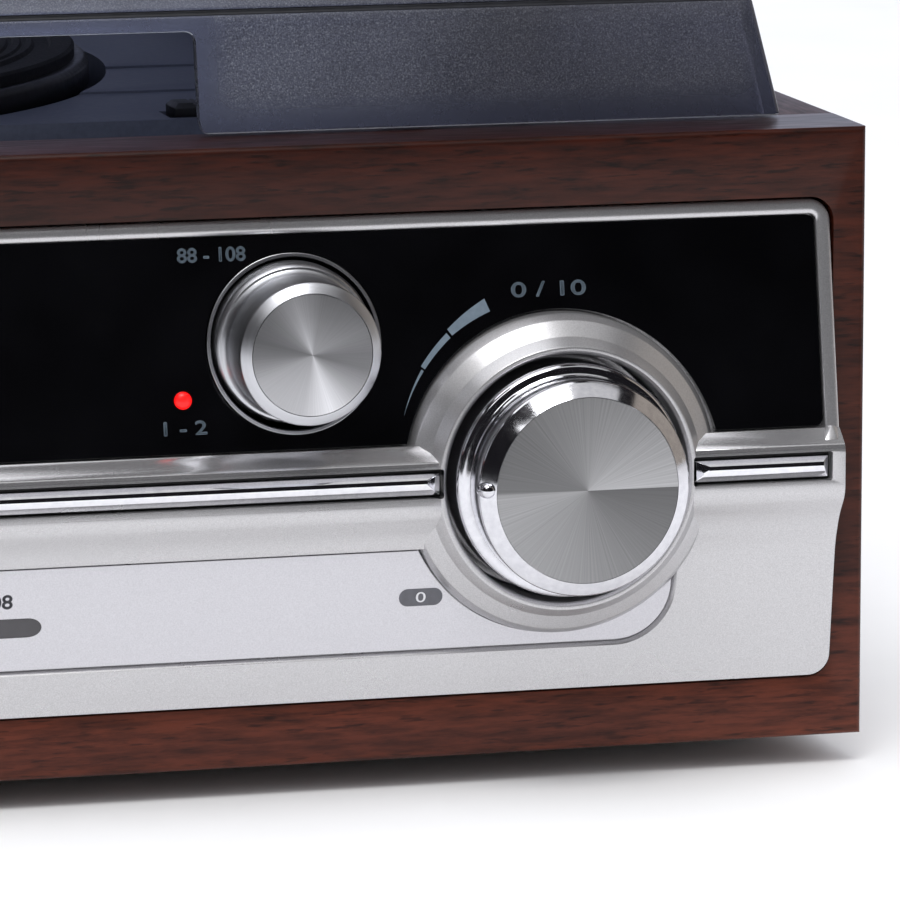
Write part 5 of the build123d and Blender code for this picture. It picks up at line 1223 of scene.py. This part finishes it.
shape.faces.new(inner[-1])
lid = make("smoky_lid", shape, smoke, 30)


def notch_outline(low, high, foot, top, radius=2.0, flare=3.0):
    """A notch, open at its foot, with round upper corners and flared lower ones."""
    left, right, below = low - flare - 1, high + flare + 1, foot - 5
    points = [(left, below), (right, below), (right, foot), (high + flare, foot), (high, foot)]
    points += [(high, top), (low, top), (low, foot), (low - flare, foot), (left, foot)]
    return soften(points, [0, 0, 0, 0, flare, radius, radius, flare, 0, 0], 6, closed=True)


notch_top = LID_FOOT + NOTCH_HEIGHT
front_notch = notch_outline(NOTCH_LEFT, NOTCH_RIGHT, LID_FOOT, notch_top)
side_notch = notch_outline(71.0, 231.0, LID_FOOT, notch_top)
cut(
    lid,
    hole(front_notch, LID_FRONT - 2, LID_FRONT + 12),
    hole(front_notch, LID_BACK - 8, LID_BACK + 2),
    prism_x("hole", side_notch, -LID_HALF - 2, -LID_HALF + 10),
)
round_edges(lid, 0.4, 45, 3, smooth=35)
lid_middle = at(0, (LID_FRONT + LID_BACK) / 2, LID_FOOT + 10)


def seen_from_outside(face):
    """Whether a face of the lid looks away from the lid's middle."""
    return face.normal.dot(face.center - lid_middle) > 0


# Painted highlight: the lid's cut edges at its foot and along the notch are given a near-white
# colour for the bright line that light makes along them.
edge_highlight_looks = {"Transmission_Weight": 0.1}
painted_edge_highlight = drifting("smoke_cut_edge", "#dfe7f2", "#eef3fa", 300, (0.2, 0.3), **edge_highlight_looks)
# The tint is counted once, on the outside; the inner face is clear and bends the light back.
clear = {"Transmission_Weight": 1.0, "IOR": 1.49}
inside = drifting("smoke_inside", "#e2e5ee", "#f0f2f8", 300, (0.22, 0.3), **clear)
# The crease under the shoulder gathers shadow.
shade = drifting("smoke_shoulder", "#16171d", "#1e2028", 300, (0.4, 0.5))
for material in (painted_edge_highlight, inside, shade):
    lid.data.materials.append(material)
for face in lid.data.polygons:
    height = (face.center.z - drawing_origin.z) / MM
    at_foot = height - LID_FOOT < 0.3
    at_notch = notch_top - 0.5 < height < notch_top + 1.0
    in_crease = LID_SHOULDER - 1.1 < height < LID_SHOULDER - 0.05
    # Painted highlight on the cut edges at the foot and along the notch.
    if face.normal.z < -0.12 and (at_foot or at_notch):
        face.material_index = 1
    elif in_crease and seen_from_outside(face):
        face.material_index = 3
    elif not seen_from_outside(face):
        face.material_index = 2
place(lid, "lid", "lid_smoke", "lid")
print("lid:", len(lid.data.polygons), "faces")

# %% [markdown]
# ## Deck
#
# The deck is moulded in dark blue-grey plastic with a fine sandblasted texture: a shallow
# trough at the front, three low steps and the round well for the platter.

# %% Deck, speed selector and adaptor
# Sandblasted moulding in blue-grey: matt, with a fine grain that scatters the light.
deck_plastic = drifting("deck_plastic", "#666c7d", "#727889", 900, (0.42, 0.55), depth=0.03)
# Black ABS from a textured mould: nearly matt, so its edges show more than its faces.
black_plastic = drifting("black_moulding", "#131315", "#1d1d20", 1200, (0.4, 0.52), depth=0.03)
# A greyer, smoother moulding, so that the adaptor stands out from the deck's black pieces.
adaptor_grey = drifting("adaptor_grey", "#26262a", "#303036", 1100, (0.35, 0.5))
dress("deck", deck_plastic, "deck_plastic", 0.5, 40, 3)
dress("speed_selector", black_plastic, "black_moulding", 0.4, 40, 3)
dress("adaptor_45", adaptor_grey, "black_moulding", 0.3)
print("deck dressed")

# %% [markdown]
# ## Platter and mat
#
# A black moulded platter with a deep rim, a rubber mat with fine rings, and a steel spindle.

# %% Platter, mat and spindle
PLATTER = (-24.0, 151.0)
# Smooth black moulding, with enough gloss for a light line along the rim.
platter_black = drifting("platter_black", "#0d0d0f", "#151517", 800, (0.3, 0.42))
# Black rubber: dull and a little dusty.
rubber = drifting("mat_rubber", "#17171a", "#222226", 1500, (0.6, 0.78), depth=0.02)
# Ground steel: bright, streaked along the spindle.
steel = drifting("spindle_steel", "#c9c9cc", "#dededf", (60, 60, 900), (0.14, 0.24), 1.0)
platter_line = [(3.62, 91.0), (11.0, 91.0), (11.0, 97.0), (71.0, 97.0), (71.0, 90.0)]
platter_line += [(74.0, 90.0), (74.0, 97.0), (95.0, 97.0), (95.0, 94.5), (97.2, 94.5)]
platter_line += [(98.0, 95.3), (98.0, 99.0), (97.0, 100.0), (3.62, 100.0)]
outline = soften(platter_line, 0.35, 3, closed=True)
platter = lathe("platter_turned", PLATTER, outline, platter_black, "z", 240, loop=True)
place(platter, "platter", "platter_plastic", "platter")
MAT_FOOT, MAT_TOP, MAT_LOW = 100.0, 102.2, 101.5
FIRST_RING, LAST_RING, RING_STEP = 87.2, 52.0, 2.4
mat_line = [(4.0, MAT_FOOT), (95.5, MAT_FOOT), (95.5, 101.7), (95.0, MAT_TOP), (91.5, MAT_TOP)]
mat_line += [(91.0, MAT_LOW), (88.5, MAT_LOW), (88.0, MAT_TOP)]
radius = FIRST_RING
while radius > LAST_RING:
    mat_line += [(radius, MAT_TOP), (radius - 0.35, 101.75)]
    mat_line += [(radius - 0.9, 101.75), (radius - 1.25, MAT_TOP)]
    radius -= RING_STEP
mat_line += [(50.0, MAT_TOP), (49.5, MAT_LOW), (4.0, MAT_LOW)]
mat = lathe("mat_turned", PLATTER, mat_line, rubber, "z", 200, loop=True, smooth=25)
place(mat, "platter", "mat_rubber", "platter_mat")
dress("spindle", steel, "spindle_steel", 0.1)
print("platter turned")

# %% [markdown]
# ## Tonearm
#
# Bare satin metal tube with a counterweight, a grey headshell with its cartridge and a red
# stylus guard, on a black turret with its lift and lever.

# %% Tonearm
# Drawn aluminium tube, satin, with the die's marks along it.
arm_satin = drifting("arm_satin_metal", "#a9a9ae", "#bdbdc2", (500, 30, 500), (0.25, 0.36), 1.0)
# Red polystyrene: a small bright spot of plastic that lets some light in.
red_looks = {"Transmission_Weight": 0.15}
stylus_red = drifting("stylus_red", "#a3120f", "#bb1a15", 900, (0.3, 0.4), **red_looks)
# Painted die casting: grey-black with a soft sheen.
headshell_grey = drifting("headshell_grey", "#2c2c30", "#36363b", 1000, (0.32, 0.42))
dress("arm_tube", arm_satin, "arm_metal", 0.3)
dress("headshell", headshell_grey, "black_moulding", 0.5, steps=3)
dress("cartridge", black_plastic, "cartridge_black", 0.4)
dress("stylus", stylus_red, "stylus_red", 0.15)
for node in ("arm_yoke", "tonearm_base", "arm_rest", "lift_bar", "cue_lever"):
    dress(node, black_plastic, "black_moulding", 0.4, steps=3)
print("tonearm dressed")

# %% [markdown]
# ## Loudspeaker grilles
#
# Each grille is a pressed steel disc, black, with round holes in a close hexagonal pattern.
# One six-sided tile with a hole repeats over the disc, as the press tool does it.


# %% Grilles
def geometry_tree(name, sockets):
    """A tree with a mesh output and named inputs; a socket is a name, kind and value."""
    tree = bpy.data.node_groups.new(name, "GeometryNodeTree")
    tree.interface.new_socket("Geometry", in_out="OUTPUT", socket_type="NodeSocketGeometry")
    ids = {}
    for label, kind, value in sockets:
        socket = tree.interface.new_socket(label, in_out="INPUT", socket_type="NodeSocket" + kind)
        if value is not None:
            socket.default_value = value
        ids[label] = socket.identifier
    return tree, ids


def grown(name, tree, ids, values):
    """The mesh that a tree grows from its values, as an object."""
    holder = bpy.data.objects.new(name, bpy.data.meshes.new(name))
    bpy.context.scene.collection.objects.link(holder)
    grow = holder.modifiers.new("grow", "NODES")
    grow.node_group = tree
    for label, value in values.items():
        grow[ids[label]] = value
    return settle(holder, 35)


def hole_tile(pitch, radius, thick, material):
    """A hexagon with a round hole, lying in X and Y."""
    shape = bmesh.new()
    count, rings = 24, []
    for level in (0.0, thick):
        outer, inner = [], []
        for i in range(count):
            a = 2 * math.pi * i / count
            near = (a + math.pi / 6) % (math.pi / 3) - math.pi / 6
            reach = pitch / 2 / math.cos(near)
            outer.append((reach * math.cos(a) * MM, reach * math.sin(a) * MM, level * MM))
            inner.append((radius * math.cos(a) * MM, radius * math.sin(a) * MM, level * MM))
        rings += [[shape.verts.new(spot) for spot in line] for line in (outer, inner)]
    join_rings(shape, [rings[0], rings[1], rings[3], rings[2]])
    return make("hole_tile", shape, material, 35)


ROWS = 31


def perforation_tree():
    """Tiles in offset rows inside a circle, made real."""
    sockets = [("Tile", "Object", None), ("Pitch", "Float", 0.003)]
    sockets += [("Field", "Float", 0.03), ("Finish", "Material", None)]
    tree, ids = geometry_tree("perforation", sockets)
    given = tree.nodes.new("NodeGroupInput").outputs
    pitch = given["Pitch"]
    row_step = {0: pitch, 1: math.sqrt(3) / 2}
    across = add(tree, "ShaderNodeMath", {0: pitch, 1: ROWS - 1.0}, **TIMES)
    along = add(tree, "ShaderNodeMath", {0: across, 1: math.sqrt(3) / 2}, **TIMES)
    size = {"Size X": across, "Size Y": along, "Vertices X": ROWS, "Vertices Y": ROWS}
    grid = add(tree, "GeometryNodeMeshGrid", size)
    spot = add(tree, "GeometryNodeInputPosition")
    parts = add(tree, "ShaderNodeSeparateXYZ", {"Vector": spot}).outputs
    step = add(tree, "ShaderNodeMath", row_step, **TIMES)
    row = add(tree, "ShaderNodeMath", {0: parts["Y"], 1: step}, operation="DIVIDE")
    row = add(tree, "ShaderNodeMath", {0: row}, operation="ROUND")
    odd = add(tree, "ShaderNodeMath", {0: row, 1: 2.0}, operation="MODULO")
    odd = add(tree, "ShaderNodeMath", {0: odd}, operation="ABSOLUTE")
    shift = add(tree, "ShaderNodeMath", {0: odd, 1: pitch}, **TIMES)
    shift = add(tree, "ShaderNodeMath", {0: shift, 1: 0.5}, **TIMES)
    offset = add(tree, "ShaderNodeCombineXYZ", {"X": shift})
    moved = add(tree, "GeometryNodeSetPosition", {"Geometry": grid, "Offset": offset})
    reach = add(tree, "ShaderNodeVectorMath", {0: spot}, operation="LENGTH").outputs["Value"]
    past_rim = {0: reach, 1: given["Field"]}
    outside = add(tree, "FunctionNodeCompare", past_rim, operation="GREATER_THAN")
    kept = add(tree, "GeometryNodeDeleteGeometry", {0: moved, 1: outside}, domain="POINT")
    tile = add(tree, "GeometryNodeObjectInfo", {0: given["Tile"]}).outputs["Geometry"]
    tiles = add(tree, "GeometryNodeInstanceOnPoints", {"Points": kept, "Instance": tile})
    real = add(tree, "GeometryNodeRealizeInstances", {0: tiles})
    merged = add(tree, "GeometryNodeMergeByDistance", {"Geometry": real, "Distance": 2e-6})
    finished = {"Geometry": merged, "Material": given["Finish"]}
    painted = add(tree, "GeometryNodeSetMaterial", finished)
    add(tree, "NodeGroupOutput", {0: painted})
    return tree, ids


GRILLE_Y, GRILLE_Z, HOLE_PITCH, HOLE_R, SHEET_THICK = 85.0, 50.0, 3.0, 1.05, 0.9
# Powder-coated steel: black, matt, with a faint metallic lift.
grille_black = drifting("grille_black_steel", "#0f0f11", "#19191c", 1400, (0.38, 0.5), 0.2)
tile = hole_tile(HOLE_PITCH, HOLE_R, SHEET_THICK, grille_black)
perforation, perforation_ids = perforation_tree()
rim_line = [(34.3, 170.3), (34.3, 171.5), (34.8, 171.9), (36.0, 172.0)]
rim_line += [(39.2, 172.0), (39.8, 171.7), (40.0, 171.1), (40.0, 170.4)]
pressing = {"Tile": tile, "Pitch": HOLE_PITCH * MM, "Field": 0.0362, "Finish": grille_black}
for side, word in ((-1, "left"), (1, "right")):
    sheet = grown(word + "_perforation", perforation, perforation_ids, pressing)
    turn = Matrix.Rotation(math.radians(90 * side), 4, "Y")
    sheet.data.transform(Matrix.Translation(at(side * 170.5, GRILLE_Y, GRILLE_Z)) @ turn)
    place(sheet, "cabinet", "grille_black", "speaker_grilles")
    shape = bmesh.new()
    rings = []
    for radius, x in rim_line:
        line = ring_points(GRILLE_Y, GRILLE_Z, radius, 128)
        rings.append([shape.verts.new(at(side * x, y, z)) for y, z in line])
    join_rings(shape, rings, loop=True)
    rim = make(word + "_grille_rim", shape, grille_black, 40)
    place(rim, "cabinet", "grille_black", "speaker_grilles")
    print(word, "grille:", len(sheet.data.polygons), "faces")
bpy.data.objects.remove(tile)

# %% [markdown]
# ## Back, underside and inside
#
# The back carries the sockets, the mains inlet and the hinges. Inside are the boards, the
# transformer, the motor and the cord drive, which show only through openings.

# %% Back, underside and inside
# Zinc-plated steel: bright grey, cloudy.
bare_steel = drifting("bare_steel", "#8f9094", "#a8a9ad", 900, (0.28, 0.42), 1.0)
# Black rubber feet and a belt that has been run: dull, near black.
foot_rubber = drifting("foot_rubber", "#101012", "#19191b", 900, (0.7, 0.85), depth=0.03)
belt = drifting("belt_rubber", "#141416", "#1e1e21", 800, (0.6, 0.75))
# Turned brass: warm yellow metal.
brass = drifting("bearing_brass", "#b08d4a", "#c8a660", 700, (0.25, 0.4), 1.0)
# Green solder mask on glass fibre, with a soft gloss.
board_green = drifting("board_green", "#1d3a26", "#28502f", 300, (0.4, 0.55))
# The capacitor's film case: brown and glossy.
film = drifting("capacitor_film", "#3a3420", "#5a5136", 500, (0.25, 0.4))
# Braided thread: pale and dry.
thread = drifting("dial_cord_thread", "#c9c4b4", "#e0dccd", 2500, (0.8, 0.95))
# Varnished sheet iron: dull grey metal in stacked layers.
iron = drifting("transformer_core", "#4a4b50", "#63646a", (200, 900, 200), (0.4, 0.55), 0.8)
dress("jack_plate", black_plastic, "black_moulding", 0.2)
dress("mains_inlet", black_plastic, "black_moulding", 0.3)
dress("hinge_bases", bare_steel, "hinge_steel", 0.2)
dress("hinge_arms", bare_steel, "hinge_steel", 0.2)
dress("feet", foot_rubber, "foot_rubber", 0.8, steps=4)
for material, names in (
    (bare_steel, "cabinet_screws panel_screws drive_motor volume_shaft function_shaft tuning_shaft"),
    (brass, "spindle_bearing motor_pulley"),
    (board_green, "radio_board main_board"),
    (film, "tuning_capacitor"),
    (thread, "dial_cord"),
    (iron, "transformer"),
    (belt, "drive_belt"),
    (black_plastic, "dial_frame tuning_drum function_switch volume_pot speakers"),
    (stylus_red, "dial_pointer"),
):
    carry(material, *names.split())
print("the rest dressed")

# %% [markdown]
# ## Stage, light and camera
#
# Product light: a pale table, a softbox high in front, weaker cards round it on the ceiling, a
# warm wall at the right and a cool backdrop. What is mirrored sees dark air between them,
# which gives the chrome its black bands, while the rest of the room stays pale.

# %% Floor, lights and camera
# Matt white table: bright, with no reflection of its own.
floor_finish = drifting("pale_floor", "#f4f4f4", "#f8f8f8", 12, (0.6, 0.7))
# The table reaches far enough to the front for the knobs' faces to mirror it.
FLOOR, TABLE_EDGE = 4.0, -0.68
ground = cad_box[0][2]
shape = bmesh.new()
outline = ((-FLOOR, TABLE_EDGE), (FLOOR, TABLE_EDGE), (FLOOR, FLOOR), (-FLOOR, FLOOR))
shape.faces.new([shape.verts.new((x, y, ground)) for x, y in outline])
floor = make("pale_floor", shape, floor_finish)

world = bpy.data.worlds.new("studio")
bpy.context.scene.world = world
world.use_nodes = True
tree = world.node_tree
tree.nodes.clear()
path = add(tree, "ShaderNodeLightPath").outputs
inputs = {0: path["Is Glossy Ray"], 1: path["Is Transmission Ray"]}
mirrored = add(tree, "ShaderNodeMath", inputs, operation="SUBTRACT")
mirrored = add(tree, "ShaderNodeMath", {0: mirrored, 1: 0.0}, operation="MAXIMUM")
air = {0: mirrored, 6: linear("#e3e4e8"), 7: linear("#1c1b1e")}
air = add(tree, "ShaderNodeMix", air, **BLEND)
sky = {0: path["Is Camera Ray"], 6: air, 7: linear("#ffffff")}
sky = add(tree, "ShaderNodeBackground", {"Color": add(tree, "ShaderNodeMix", sky, **BLEND)})
add(tree, "ShaderNodeOutputWorld", {"Surface": sky})


def soft_light(name, centre, towards, size, radiance, colour="#ffffff"):
    """A rectangular soft light as bright, seen directly, as the radiance says."""
    light = bpy.data.lights.new(name, "AREA")
    light.shape = "RECTANGLE"
    light.size, light.size_y = size
    light.energy = radiance * math.pi * size[0] * size[1]
    light.color = linear(colour)[:3]
    lamp = bpy.data.objects.new(name, light)
    bpy.context.scene.collection.objects.link(lamp)
    lamp.location = centre
    aim = Vector(towards) - Vector(centre)
    lamp.rotation_euler = aim.to_track_quat("-Z", "Y").to_euler()
    return lamp


CEILING = 1.15
# A ceiling light's sides along X and Y in metres, its radiance and colour.
for name, x0, x1, y0, y1, radiance, colour in (
    ("softbox", -0.34, 0.19, -0.98, -0.55, 10.5, "#ffffff"),
    ("left_card", -0.95, -0.3, -1.55, -1.08, 2.0, "#ffffff"),
    ("ceiling_card", -0.75, 0.28, -0.5, 0.3, 1.6, "#fbfcff"),
    ("grey_card", 0.22, 0.98, -0.82, -0.46, 0.7, "#ffffff"),
    ("far_card", 0.47, 0.95, -0.4, 0.2, 0.33, "#ffffff"),
):
    middle = ((x0 + x1) / 2, (y0 + y1) / 2)
    soft_light(name, (*middle, CEILING), (*middle, 0.0), (x1 - x0, y1 - y0), radiance, colour)
soft_light("right_wall", (1.25, 0.05, 0.5), (0.1, -0.15, 0.05), (1.3, 1.0), 0.45, "#ece0d2")
soft_light("backdrop", (0.0, 1.35, 0.55), (0.0, 0.0, 0.2), (2.4, 0.9), 1.0, "#e2e8ff")

camera_data = bpy.data.cameras.new("camera")
camera_data.lens, camera_data.sensor_width = 285.4, 36.0
camera_data.clip_start, camera_data.clip_end = 0.05, 20.0
camera = bpy.data.objects.new("camera", camera_data)
bpy.context.scene.collection.objects.link(camera)
camera.location = (-0.18865, -1.23110, 0.25100)
turn, dip = math.radians(15.0), math.radians(9.88)
aim = Vector((math.sin(turn) * math.cos(dip), math.cos(turn) * math.cos(dip), -math.sin(dip)))
camera.rotation_euler = aim.to_track_quat("-Z", "Y").to_euler()
bpy.context.scene.camera = camera
bpy.context.scene.view_settings.view_transform = "Standard"
print("stage set")

# %% The end
bpy.data.materials.remove(plain_tool)
